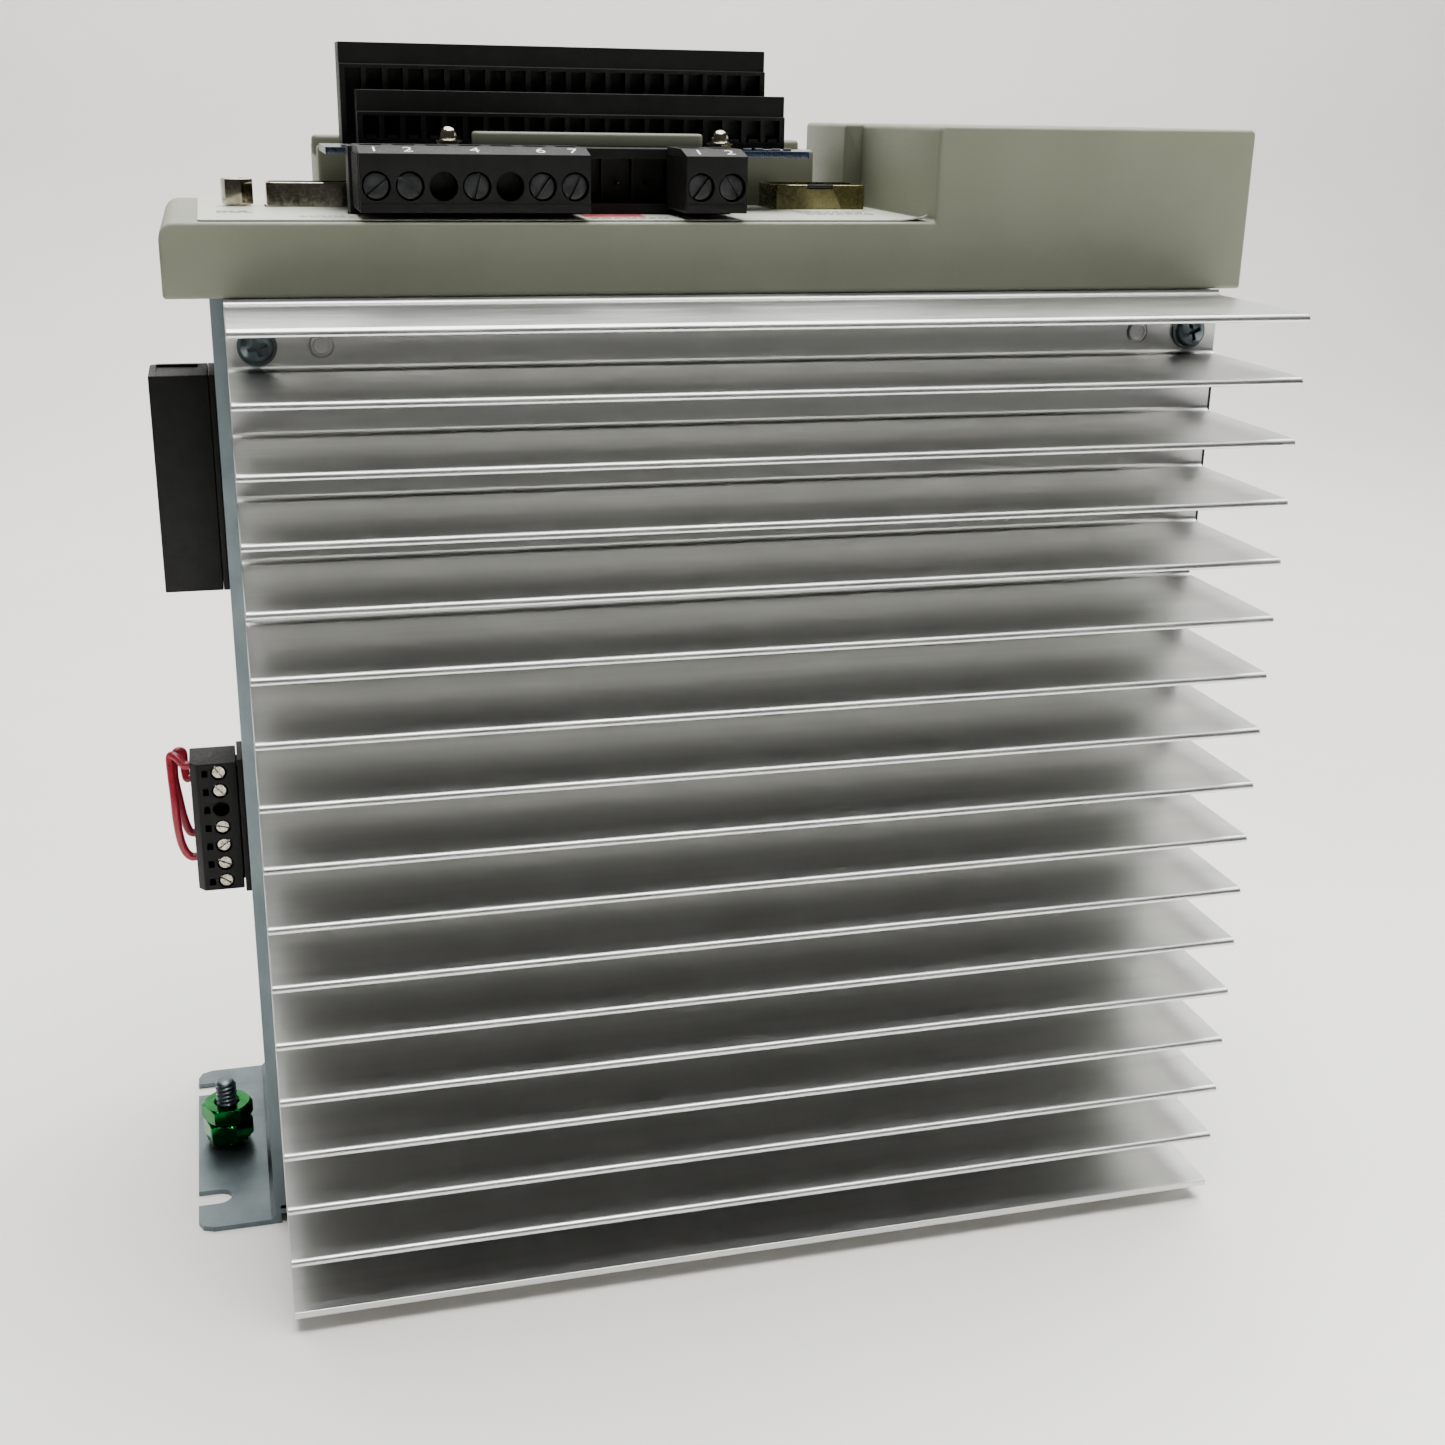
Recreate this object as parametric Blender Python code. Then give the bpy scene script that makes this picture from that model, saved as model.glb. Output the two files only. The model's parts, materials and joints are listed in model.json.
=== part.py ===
"""A panel-mounted servo drive, lying on its back: a folded steel chassis with a finned heatsink along one
side, a moulded front cover, pluggable terminal blocks, and an option card that carries two terminal strips.

Frame: +Z points out of the drive's front, X runs along its height on the panel, and the heatsink fins point
towards -Y. The origin is the middle of the back plane. Sizes below are in millimetres, and the drive's own
bench coordinates have y = 0 on the face that the fins grow from; place() turns them into metres."""

import math

import bmesh
import bpy
from mathutils import Matrix, Vector

# Driving dimensions, in millimetres
ROOT_Y = -24.25  # where the face that the fins grow from lies, so that the origin is in the middle
GAP = 0.3  # between pieces that touch

CHASSIS_HALF = 127.0  # half the chassis width along X: 254 mm across
SHEET = 1.5  # steel sheet
NEAR_Y, FAR_Y = 6.3, 91.8  # the chassis walls along Y
BACK_Z = 3.0  # underside of the back plate
WALL_TOP = 247.8
EAR_HALF = 147.3  # half the length over the mounting ears
EAR_SLOT = 7.0  # mounting slot width
EAR_SLOT_DEPTH = 9.0
EAR_SLOT_Y = (20.9, 80.6)

FIN_COUNT = 17
FIN_PITCH = 15.0
FIN_THICK = 1.85
FIN_HEIGHT = 43.5
FIN_TOP = 246.7  # upper face of the uppermost fin
SINK_LEFT, SINK_RIGHT = -124.0, 127.0
SINK_BASE = 6.0
SINK_SCREW_X = (-117.2, 118.9)
SINK_STUD_X = (-102.8, 104.4)
SINK_SCREW_Z = 237.5

COVER_LEFT, COVER_RIGHT = -137.0, 133.0
COVER_FAR = 92.0
COVER_BOTTOM, COVER_TOP = 248.1, 264.9
COVER_WALL = 2.2
TOWER_LEFT, TOWER_TOP, TOWER_FALL = 47.0, 287.5, 1.2  # the raised block, and how far its top falls away
TOWER_STEP_Y, TOWER_STEP = 57.0, 5.0
DECK_LEFT, DECK_RIGHT, DECK_NEAR, DECK_TOP = -98.0, 34.4, 60.0, 279.6
RIB_NEAR, RIB_FAR, RIB_TOP = 66.0, 70.0, 282.0
RIB_RIGHT = 32.0
LABEL_THICK = 0.3
LABEL_Z = COVER_TOP + 0.15

POWER_PITCH = 7.62
SIGNAL_PITCH = 5.08
POWER_LEFT = -92.5  # left end of the row of power terminals
HEADER_WAYS, MOTOR_WAYS, BUS_WAYS = 12, 7, 2
MOTOR_SCREWS = (0, 1, 3, 5, 6)  # ways that hold a clamping screw
PLUG_DEPTH = 20.0
PLUG_BOTTOM, PLUG_BROW, PLUG_TOP = 266.9, 279.9, 281.4
POWER_SCREW_Z = 272.8
POWER_SCREW_R = 3.0
BUS_LEFT = -16.5  # left end of the two-way plug
HEADER_NEAR, HEADER_FAR, HEADER_TOP, HEADER_RIGHT = 20.3, 28.6, 280.9, 0.0

STRIP_WAYS = 21
STRIP_BAND, STRIP_STEP = 5.0, 1.0  # the plain upper band, and how far the lower one stands proud of it
STRIP_LENGTH = STRIP_WAYS * SIGNAL_PITCH + 1.5  # the end walls are thicker by 0.75 mm each
CARD_LEFT, CARD_RIGHT, CARD_NEAR, CARD_FAR = -97.8, 23.5, 30.0, 57.0
CARD_Z, CARD_THICK = 278.5, 1.7
CARD_SCREW_X, CARD_SCREW_Y = (-68.2, 0.4), 32.9
SOCKET_LEFT, SOCKET_RIGHT, SOCKET_NEAR, SOCKET_FAR, SOCKET_LEDGE = -71.6, 3.8, 30.4, 42.6, 267.0
JACK_NEAR, JACK_FAR = 41.0, 57.0

SIDE_PLUG_X = -138.9  # outer face of the signal plug on the left wall
SIDE_WAYS = 7
SIDE_SCREWS = (0, 1, 3, 4, 5, 6)
SIDE_TOP_Z = 127.8
SIDE_NEAR, SIDE_FAR = 25.0, 38.5
SIDE_SCREW_X, SIDE_SCREW_R = -133.3, 1.8
JUMPER_DIAMETER = 2.2

RELAY_X = -142.4
RELAY_NEAR, RELAY_FAR = 20.0, 41.0
RELAY_BOTTOM, RELAY_TOP = 175.2, 228.2

BRAKE_NEAR, BRAKE_FAR, BRAKE_BOTTOM, BRAKE_TOP, BRAKE_X = 11.5, 32.0, 176.0, 226.0, 134.5

STUD_X, STUD_Y, STUD_R, STUD_TOP = -138.5, 50.2, 3.0, 21.0
NUT_FLATS = 12.5

CONTROL_Z = 250.2  # underside of the control board
BOARD_THICK = 1.6
POWER_BOARD_Y = 30.0


def place(point):
    """Bench coordinates in millimetres, to the part's frame in metres."""
    x, y, z = point
    return Vector((x, y + ROOT_Y, z)) / 1000


def material(name, colour, roughness, metallic=0.0):
    """A Principled material. The colour is linear RGB."""
    made = bpy.data.materials.new(name)
    made.use_nodes = True
    shader = made.node_tree.nodes["Principled BSDF"]
    shader.inputs["Base Color"].default_value = (*colour, 1)
    shader.inputs["Roughness"].default_value = roughness
    shader.inputs["Metallic"].default_value = metallic
    return made


def finished(name, bm, finish, origin=(0, 0, 0)):
    """Makes an object of a bmesh drawn in millimetres about origin, a bench point."""
    bmesh.ops.recalc_face_normals(bm, faces=bm.faces)
    bmesh.ops.scale(bm, vec=Vector((0.001, 0.001, 0.001)), verts=bm.verts)
    mesh = bpy.data.meshes.new(name)
    bm.to_mesh(mesh)
    bm.free()
    if finish:
        mesh.materials.append(finish)
    mesh.shade_smooth()
    mesh.set_sharp_from_angle(angle=math.radians(35))
    made = bpy.data.objects.new(name, mesh)
    made.location = place(origin)
    bpy.context.collection.objects.link(made)
    return made


def prism(outline, axis, low, high, origin=(0, 0, 0)):
    """An outline extruded along an axis. The outline's two numbers are the other two coordinates, in XYZ order."""
    bm = bmesh.new()
    shift = Vector(origin)

    def corner(a, b, along):
        spot = {"X": (along, a, b), "Y": (a, along, b), "Z": (a, b, along)}[axis]
        return bm.verts.new(Vector(spot) - shift)

    face = bm.faces.new([corner(a, b, low) for a, b in outline])
    grown = bmesh.ops.extrude_face_region(bm, geom=[face])
    verts = [item for item in grown["geom"] if isinstance(item, bmesh.types.BMVert)]
    travel = {"X": (1, 0, 0), "Y": (0, 1, 0), "Z": (0, 0, 1)}[axis]
    bmesh.ops.translate(bm, verts=verts, vec=Vector(travel) * (high - low))
    return bm


def rectangle(a0, a1, b0, b1):
    return [(a0, b0), (a1, b0), (a1, b1), (a0, b1)]


def block(low, high, origin=(0, 0, 0)):
    """A box between two bench corners."""
    return prism(rectangle(low[0], high[0], low[1], high[1]), "Z", low[2], high[2], origin)


def rounded(a0, a1, b0, b1, radius, steps=3):
    """A rectangle with round corners, as an outline."""
    centres = ((a1 - radius, b1 - radius), (a0 + radius, b1 - radius))
    centres += ((a0 + radius, b0 + radius), (a1 - radius, b0 + radius))
    outline = []
    for quarter, (ca, cb) in enumerate(centres):
        for step in range(steps + 1):
            turn = math.pi / 2 * (quarter + step / steps)
            outline.append((ca + radius * math.cos(turn), cb + radius * math.sin(turn)))
    return outline


def polygon(sides, across_flats, turn=0.0):
    """A regular outline about the origin, sized over its flats."""
    radius = across_flats / 2 / math.cos(math.pi / sides)
    steps = [turn + 2 * math.pi * (side + 0.5) / sides for side in range(sides)]
    return [(radius * math.cos(step), radius * math.sin(step)) for step in steps]


AIM = {
    "X": Matrix.Rotation(math.pi / 2, 4, "Y"),
    "-X": Matrix.Rotation(-math.pi / 2, 4, "Y"),
    "-Y": Matrix.Rotation(math.pi / 2, 4, "X"),
    "Z": Matrix.Identity(4),
}


def turned(profile, steps, aim="Z"):
    """A turned solid about the origin. The profile is (radius, height) pairs, from the bottom centre to the top."""
    bm = bmesh.new()
    rings = []
    for radius, height in profile:
        ring = []
        for step in range(steps):
            turn = 2 * math.pi * step / steps
            ring.append(bm.verts.new((radius * math.cos(turn), radius * math.sin(turn), height)))
        rings.append(ring)
    for lower, upper in zip(rings, rings[1:]):
        for step in range(steps):
            after = (step + 1) % steps
            bm.faces.new((lower[step], lower[after], upper[after], upper[step]))
    bm.faces.new(list(reversed(rings[0])))
    bm.faces.new(rings[-1])
    bmesh.ops.transform(bm, matrix=AIM[aim], verts=bm.verts)
    return bm


def tool(name, bm, origin=(0, 0, 0)):
    """A hidden helper that cuts or adds to another object."""
    made = finished(name, bm, None, origin)
    made.hide_render = True
    made.display_type = "WIRE"
    return made


def combine(target, operation, helpers):
    """Adds an exact Boolean to the target for each helper."""
    for helper in helpers:
        modifier = target.modifiers.new(helper.name, "BOOLEAN")
        modifier.operation = operation
        modifier.solver = "EXACT"
        modifier.object = helper


def cut(target, *helpers):
    combine(target, "DIFFERENCE", helpers)


def join(target, *helpers):
    combine(target, "UNION", helpers)


def clear_scene():
    for leftover in list(bpy.data.objects):
        bpy.data.objects.remove(leftover, do_unlink=True)


def make_finishes():
    return {
        "zinc": material("zinc_plated_steel", (0.42, 0.46, 0.48), 0.38, 1.0),
        "aluminium": material("raw_aluminium", (0.62, 0.62, 0.63), 0.34, 1.0),
        "putty": material("putty_plastic", (0.50, 0.50, 0.42), 0.55),
        "black": material("black_plastic", (0.012, 0.013, 0.013), 0.45),
        "screw": material("terminal_screw_steel", (0.55, 0.53, 0.50), 0.35, 1.0),
        "dark_screw": material("blackened_screw", (0.06, 0.065, 0.07), 0.45, 0.6),
        "nickel": material("bright_nickel", (0.65, 0.62, 0.56), 0.22, 1.0),
        "green": material("green_passivated_steel", (0.01, 0.16, 0.04), 0.28, 1.0),
        "tin": material("tinned_shell", (0.50, 0.44, 0.24), 0.30, 1.0),
        "paper": material("label_film", (0.78, 0.79, 0.74), 0.50),
        "board_blue": material("blue_circuit_board", (0.012, 0.03, 0.07), 0.40),
        "board_green": material("green_circuit_board", (0.01, 0.09, 0.03), 0.45),
        "red": material("red_wire", (0.35, 0.01, 0.03), 0.40),
        "grey": material("grey_module", (0.20, 0.21, 0.22), 0.55),
        "blue": material("capacitor_sleeve", (0.02, 0.05, 0.20), 0.35),
        "copper": material("copper_winding", (0.50, 0.20, 0.08), 0.35, 1.0),
    }


def ear_slot(side, y):
    """The outline of one open-ended slot in a mounting ear."""
    radius = EAR_SLOT / 2
    inner = EAR_HALF - EAR_SLOT_DEPTH + radius
    outline = [(side * (EAR_HALF + 1), y + radius), (side * (EAR_HALF + 1), y - radius)]
    for step in range(9):
        turn = -math.pi / 2 - math.pi * step / 8
        outline.append((side * (inner + radius * math.cos(turn)), y + radius * math.sin(turn)))
    return outline


def make_chassis(finish):
    """Two walls, their outward mounting ears and the back plate are one folded sheet, open at the front."""
    wall, inner = CHASSIS_HALF, CHASSIS_HALF - SHEET
    bend = 1.2
    half = [
        (inner, BACK_Z), (inner, 0), (EAR_HALF, 0), (EAR_HALF, SHEET), (wall + bend, SHEET),
        (wall, SHEET + bend), (wall, WALL_TOP), (inner, WALL_TOP), (inner, BACK_Z + SHEET),
    ]
    outline = half + [(-x, z) for x, z in reversed(half)]
    chassis = finished("chassis", prism(outline, "Y", NEAR_Y, FAR_Y), finish["zinc"])
    for side, label in ((-1, "left"), (1, "right")):
        x0, x1 = sorted((side * (inner - 13), side * (inner + 0.7)))
        near = tool(f"fold_near_{label}", block((x0, NEAR_Y, 5.5), (x1, NEAR_Y + SHEET, WALL_TOP)))
        far = tool(f"fold_far_{label}", block((x0, FAR_Y - 3.4, 5.5), (x1, FAR_Y - 1.9, WALL_TOP)))
        join(chassis, near, far)
        for number, y in enumerate(EAR_SLOT_Y):
            cut(chassis, tool(f"slot_{label}_{number}", prism(ear_slot(side, y), "Z", -1, SHEET + 1)))
        corners = []
        for y, inward in ((NEAR_Y, 1), (FAR_Y, -1)):
            corner = [(EAR_HALF + 1, y - inward), (EAR_HALF - 4, y - inward), (EAR_HALF - 4, y)]
            corner += [(EAR_HALF - 1.2, y + 1.2 * inward), (EAR_HALF, y + 4 * inward)]
            corner += [(EAR_HALF + 1, y + 4 * inward)]
            shape = prism([(side * x, along) for x, along in corner], "Z", -1, SHEET + 1)
            corners.append(tool(f"ear_corner_{label}_{int(y)}", shape))
        cut(chassis, *corners)
        screw_x, stud_x = SINK_SCREW_X[side > 0], SINK_STUD_X[side > 0]
        hole = turned([(2.4, -20), (2.4, 20)], 12, "-Y")
        cut(chassis, tool(f"chassis_screw_hole_{label}", hole, (screw_x, NEAR_Y, SINK_SCREW_Z)))
    windows = {
        "signal": ((-140, SIDE_NEAR + 0.4, SIDE_TOP_Z - SIDE_WAYS * SIGNAL_PITCH - 0.4),
                   (-120, SIDE_FAR - 0.4, SIDE_TOP_Z + 0.4)),
        "relay": ((-140, RELAY_NEAR + 1.0, RELAY_BOTTOM + 1.0), (-120, RELAY_FAR - 1.0, RELAY_TOP - 1.0)),
        "brake": ((120, BRAKE_NEAR + 1.0, BRAKE_BOTTOM + 1.0), (140, BRAKE_FAR - 1.0, BRAKE_TOP - 1.0)),
    }
    for name, (low, high) in windows.items():
        cut(chassis, tool(f"window_{name}", block(low, high)))
    ground = turned([(2.6, -5), (2.6, 5)], 16)
    cut(chassis, tool("ground_stud_hole", ground, (STUD_X, STUD_Y, 0)))
    return chassis


def make_side_panel(finish):
    """The removable far side: a sheet that sits between the walls, against their far folds."""
    half = CHASSIS_HALF - SHEET - GAP
    low = (-half, FAR_Y - 1.6, BACK_Z + SHEET + GAP)
    high = (half, FAR_Y - 0.1, WALL_TOP - 1)
    return finished("side_panel", block(low, high), finish["zinc"])


def make_heatsink(finish):
    """One extrusion: a base plate with fins, each with small fillets at its root and rounded tip edges."""
    base_low = FIN_TOP - (FIN_COUNT - 1) * FIN_PITCH - FIN_THICK
    outline = [(SINK_BASE, base_low), (SINK_BASE, FIN_TOP + 0.9), (0, FIN_TOP + 0.9)]
    round_tip, fillet = 0.5, 1.3
    for fin in range(FIN_COUNT):
        top = FIN_TOP - fin * FIN_PITCH
        bottom = top - FIN_THICK
        first, last = fin == 0, fin == FIN_COUNT - 1
        outline += [(0, top)] if first else [(0, top + fillet), (-fillet, top)]
        outline += [(-FIN_HEIGHT + round_tip, top), (-FIN_HEIGHT, top - round_tip)]
        outline += [(-FIN_HEIGHT, bottom + round_tip), (-FIN_HEIGHT + round_tip, bottom)]
        outline += [] if last else [(-fillet, bottom), (0, bottom - fillet)]
    sink = finished("heatsink", prism(outline, "X", SINK_LEFT, SINK_RIGHT), finish["aluminium"])
    for label, x in zip(("left", "right"), SINK_SCREW_X):
        hole = turned([(2.4, -12), (2.4, 12)], 12, "-Y")
        cut(sink, tool(f"sink_screw_hole_{label}", hole, (x, 0, SINK_SCREW_Z)))
    for label, x in zip(("left", "right"), SINK_STUD_X):
        hole = turned([(2.9, -2), (2.9, 2)], 16, "-Y")
        cut(sink, tool(f"sink_stud_seat_{label}", hole, (x, 0, SINK_SCREW_Z)))
    return sink


def make_sink_fixings(finish):
    """Pan-head screws through the base, with a cross recess, and the round pressed studs beside them."""
    for label, x in zip(("left", "right"), SINK_SCREW_X):
        spot = (x, 0, SINK_SCREW_Z)
        profile = [(2.0, -9.5), (2.0, GAP), (3.8, GAP), (3.8, 1.3), (3.0, 2.3), (1.6, 2.8)]
        screw = finished(f"heatsink_screw_{label}", turned(profile, 16, "-Y"), finish["zinc"], spot)
        for number, size in enumerate(((2.2, 0.45), (0.45, 2.2))):
            arm = block((x - size[0], -4, SINK_SCREW_Z - size[1]), (x + size[0], -1.4, SINK_SCREW_Z + size[1]), spot)
            cut(screw, tool(f"cross_{label}_{number}", arm, spot))
    for label, x in zip(("left", "right"), SINK_STUD_X):
        profile = [(2.6, -1.6), (2.6, 0.1), (2.3, 0.5)]
        finished(f"pressed_stud_{label}", turned(profile, 20, "-Y"), finish["zinc"], (x, 0, SINK_SCREW_Z))


def tower_outline(inset=0.0):
    """The raised block's footprint, with one step in its left side."""
    left, step = TOWER_LEFT + inset, TOWER_LEFT - TOWER_STEP + inset
    turn = TOWER_STEP_Y + inset
    return [
        (left, inset), (COVER_RIGHT - inset, inset), (COVER_RIGHT - inset, COVER_FAR - inset),
        (step, COVER_FAR - inset), (step, turn), (left, turn),
    ]


def cover_shape(inset, low, over):
    """The cover's outer or inner form: a low tray with the raised block and the card's deck standing on it."""
    tray = rounded(COVER_LEFT + inset, COVER_RIGHT - inset, low, COVER_TOP - inset, 3.6 - inset / 2)
    square = [(COVER_RIGHT - inset, low), (COVER_RIGHT - inset, COVER_TOP - inset)]
    left_side = [point for point in tray if point[0] < 0 and point[1] > low + 4]
    outline = square + left_side + [(COVER_LEFT + inset, low)]
    body = prism(outline, "Y", inset, COVER_FAR - inset)
    tower = prism(tower_outline(inset), "Z", over, TOWER_TOP - inset)
    for vert in tower.verts:
        if vert.co.z > COVER_TOP + 5:
            vert.co.z -= TOWER_FALL * vert.co.y / COVER_FAR
    deck_side = rectangle(DECK_LEFT + inset, DECK_RIGHT - inset, DECK_NEAR + inset, COVER_FAR - inset)
    deck = prism(deck_side, "Z", over, DECK_TOP - inset)
    return body, tower, deck


def make_front_cover(finish):
    """A moulded shell, open underneath, with windows where the connectors come through."""
    body, tower, deck = cover_shape(0.0, COVER_BOTTOM, COVER_TOP - 4)
    cover = finished("front_cover", body, finish["putty"])
    rib = block((DECK_LEFT - 1, RIB_NEAR, DECK_TOP - 1), (RIB_RIGHT, RIB_FAR, RIB_TOP))
    join(cover, tool("cover_tower", tower), tool("cover_deck", deck), tool("cover_rib", rib))
    body, tower, deck = cover_shape(COVER_WALL, COVER_BOTTOM - 2, COVER_TOP - 4)
    cut(cover, tool("cover_hollow", body), tool("tower_hollow", tower), tool("deck_hollow", deck))
    for name, (low, high) in cover_windows().items():
        cut(cover, tool(f"cover_{name}", block((*low, COVER_TOP - 6), (*high, COVER_TOP + 1))))
    return cover


def cover_windows():
    """Where the connectors pass through the cover and its label, as low and high (x, y) corners."""
    wide = GAP + 0.2
    return {
        "header_window": (
            (POWER_LEFT - 0.8 - wide, HEADER_NEAR - wide),
            (HEADER_RIGHT + wide, HEADER_FAR + wide),
        ),
        "card_window": ((SOCKET_LEFT - wide, SOCKET_NEAR - wide), (SOCKET_RIGHT + wide, SOCKET_FAR + wide)),
        "port_window": ((-111.7 - wide, 47.0 - wide), (-58.0 + wide, 55.5 + wide)),
        "jack_window": ((18.0 - wide, JACK_NEAR - wide), (42.6 + wide, JACK_FAR + wide)),
    }


def make_front_label(finish):
    """A thin film on the low part of the cover, with the connectors cut out of it."""
    low, high = (-128.3, 1.8, LABEL_Z), (TOWER_LEFT - 0.8, 56.6, LABEL_Z + LABEL_THICK)
    label = finished("front_label", block(low, high), finish["paper"])
    left = block((-128.3, 50, LABEL_Z), (DECK_LEFT - 1.8, 89.5, LABEL_Z + LABEL_THICK))
    join(label, tool("label_left", left))
    for name, (start, end) in cover_windows().items():
        cut(label, tool(f"label_{name}", block((*start, LABEL_Z - 1), (*end, LABEL_Z + 1))))
    for label_side, x in zip(("left", "right"), PORT_SCREW_X):
        post = turned([(4.4, -2), (4.4, 2)], 12)
        cut(label, tool(f"label_post_{label_side}", post, (x, PORT_SCREW_Y, LABEL_Z)))
        post = turned([(2.4, -8), (2.4, 4)], 12)
        cut(bpy.data.objects["front_cover"], tool(f"cover_post_{label_side}", post, (x, PORT_SCREW_Y, COVER_TOP)))
    return label


def plug_outline():
    """A power plug from its side, as (y, z): screws at the near face, a sloping brow and a flat top."""
    return [
        (0, PLUG_BOTTOM), (PLUG_DEPTH, PLUG_BOTTOM), (PLUG_DEPTH, PLUG_TOP), (6, PLUG_TOP), (0, PLUG_BROW),
    ]


def make_power_plug(name, left, ways, finish):
    right = left + ways * POWER_PITCH
    plug = finished(name, prism(plug_outline(), "X", left + 0.1, right - 0.1), finish["black"])
    tongue = block((left + 0.8, PLUG_DEPTH - 1, 268.4), (right - 0.8, HEADER_FAR - 1.9, 277.8))
    join(plug, tool(f"{name}_tongue", tongue))
    for way in range(ways):
        x = left + (way + 0.5) * POWER_PITCH
        bore = turned([(POWER_SCREW_R + GAP, -7), (POWER_SCREW_R + GAP, 2)], 16, "-Y")
        cut(plug, tool(f"{name}_bore_{way + 1}", bore, (x, 0, POWER_SCREW_Z)))
        entry = block((x - 2.6, 8.5, 277), (x + 2.6, 15.5, PLUG_TOP + 1))
        cut(plug, tool(f"{name}_entry_{way + 1}", entry))
    return plug


def make_power_header(finish):
    """One open-fronted shroud for all twelve ways. Three ways in the middle stay empty."""
    left, right = POWER_LEFT - 0.8, HEADER_RIGHT
    low, high = (left, HEADER_NEAR, CONTROL_Z + BOARD_THICK + GAP), (right, HEADER_FAR, HEADER_TOP)
    header = finished("power_header", block(low, high), finish["black"])
    mouth = block((left + 1.2, HEADER_NEAR - 1, 267.8), (right - 1.2, HEADER_FAR - 1.4, 278.4))
    cut(header, tool("header_mouth", mouth))
    return header


def slotted_screw(name, radius, length, spot, aim, slot_turn, finish, slot=(0.8, 0.9)):
    """A cheese-head screw with its head at spot, pointing along aim, and its slot turned by slot_turn degrees."""
    profile = [(radius * 0.55, -length), (radius * 0.55, -1.8), (radius, -1.8), (radius, -0.3), (radius - 0.3, 0)]
    screw = finished(name, turned(profile, 16, aim), finish, spot)
    width, depth = slot
    bar = bmesh.new()
    bmesh.ops.create_cube(bar, size=1)
    bmesh.ops.scale(bar, vec=Vector((radius * 2.4, width, depth * 2)), verts=bar.verts)
    spin = AIM[aim] @ Matrix.Rotation(math.radians(slot_turn), 4, "Z")
    bmesh.ops.transform(bar, matrix=spin, verts=bar.verts)
    cut(screw, tool(f"{name}_slot", bar, spot))
    return screw


def make_power_terminals(finish):
    make_power_header(finish)
    make_power_plug("motor_plug", POWER_LEFT, MOTOR_WAYS, finish)
    make_power_plug("bus_plug", BUS_LEFT, BUS_WAYS, finish)
    turns = {0: 40, 1: -30, 3: 75, 5: 55, 6: 70}
    for way in MOTOR_SCREWS:
        spot = (POWER_LEFT + (way + 0.5) * POWER_PITCH, 1.2, POWER_SCREW_Z)
        slotted_screw(f"motor_screw_{way + 1}", POWER_SCREW_R, 5.0, spot, "-Y", turns[way], finish["dark_screw"])
    for way, turn in ((0, 60), (1, -55)):
        x = BUS_LEFT + (way + 0.5) * POWER_PITCH
        spot = (x, 1.2, POWER_SCREW_Z)
        slotted_screw(f"bus_screw_{way + 1}", POWER_SCREW_R, 5.0, spot, "-Y", turn, finish["dark_screw"])


PORT_SCREW_X, PORT_SCREW_Y = (-118.6, -51.0), 51.2  # the two hexagonal posts beside the rectangular port


def make_ports(finish):
    """The multi-pin port with its hexagonal posts, and the shielded jack."""
    base = CONTROL_Z + BOARD_THICK + GAP
    shell = finished("port_shell", prism(rounded(-111.7, -58.0, 47.0, 55.5, 2.0), "Z", base, 271.2), finish["nickel"])
    hollow = tool("port_shell_hollow", prism(rounded(-111.0, -58.7, 47.7, 54.8, 1.6), "Z", base - 1, 272.5))
    cut(shell, hollow)
    insert = prism(rounded(-110.6, -59.1, 48.1, 54.4, 1.3), "Z", base, 266.5)
    finished("port_insert", insert, finish["black"])
    for label, x in zip(("left", "right"), PORT_SCREW_X):
        spot = (x, PORT_SCREW_Y, LABEL_Z + LABEL_THICK + GAP)
        post = finished(f"port_post_{label}", prism(polygon(6, 6.9, 0.25), "Z", 0, 6.3), finish["nickel"], spot)
        thread = turned([(1.9, -9.5), (1.9, 1.0)], 12)
        join(post, tool(f"port_post_thread_{label}", thread, spot))
        bore = turned([(1.3, 2.4), (1.3, 8.0)], 10)
        cut(post, tool(f"port_post_bore_{label}", bore, spot))
    jack = finished("jack_shell", block((18.0, JACK_NEAR, base), (42.6, JACK_FAR, 271.5)), finish["tin"])
    cut(jack, tool("jack_shell_hollow", block((18.6, JACK_NEAR + 0.6, base - 1), (42.0, JACK_FAR - 0.6, 273))))
    cut(jack, tool("jack_latch_gap", block((26.6, JACK_NEAR - 1, 270.4), (33.8, JACK_NEAR + 1.5, 273))))
    jack_body = finished("jack_insert", block((18.9, JACK_NEAR + 0.9, base), (41.7, JACK_FAR - 0.9, 270.9)), finish["black"])
    cut(jack_body, tool("jack_cavity", block((22.5, JACK_NEAR + 2.2, 257), (38.5, JACK_NEAR + 10, 272))))
    collar = block((SOCKET_LEFT, SOCKET_NEAR, base), (SOCKET_RIGHT, SOCKET_FAR, SOCKET_LEDGE))
    socket = finished("card_socket", collar, finish["black"])
    join(socket, tool("socket_tongue", block((-60.0, 36.2, SOCKET_LEDGE - 1), (-7.8, 40.0, 275.0))))
    for label, x in zip(("left", "right"), CARD_SCREW_X):
        spot = (x, CARD_SCREW_Y, SOCKET_LEDGE)
        join(socket, tool(f"socket_post_{label}", turned([(2.8, -1), (2.8, 6.8)], 12), spot))
        cut(socket, tool(f"socket_thread_{label}", turned([(1.9, -1.5), (1.9, 8)], 12), spot))


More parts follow.
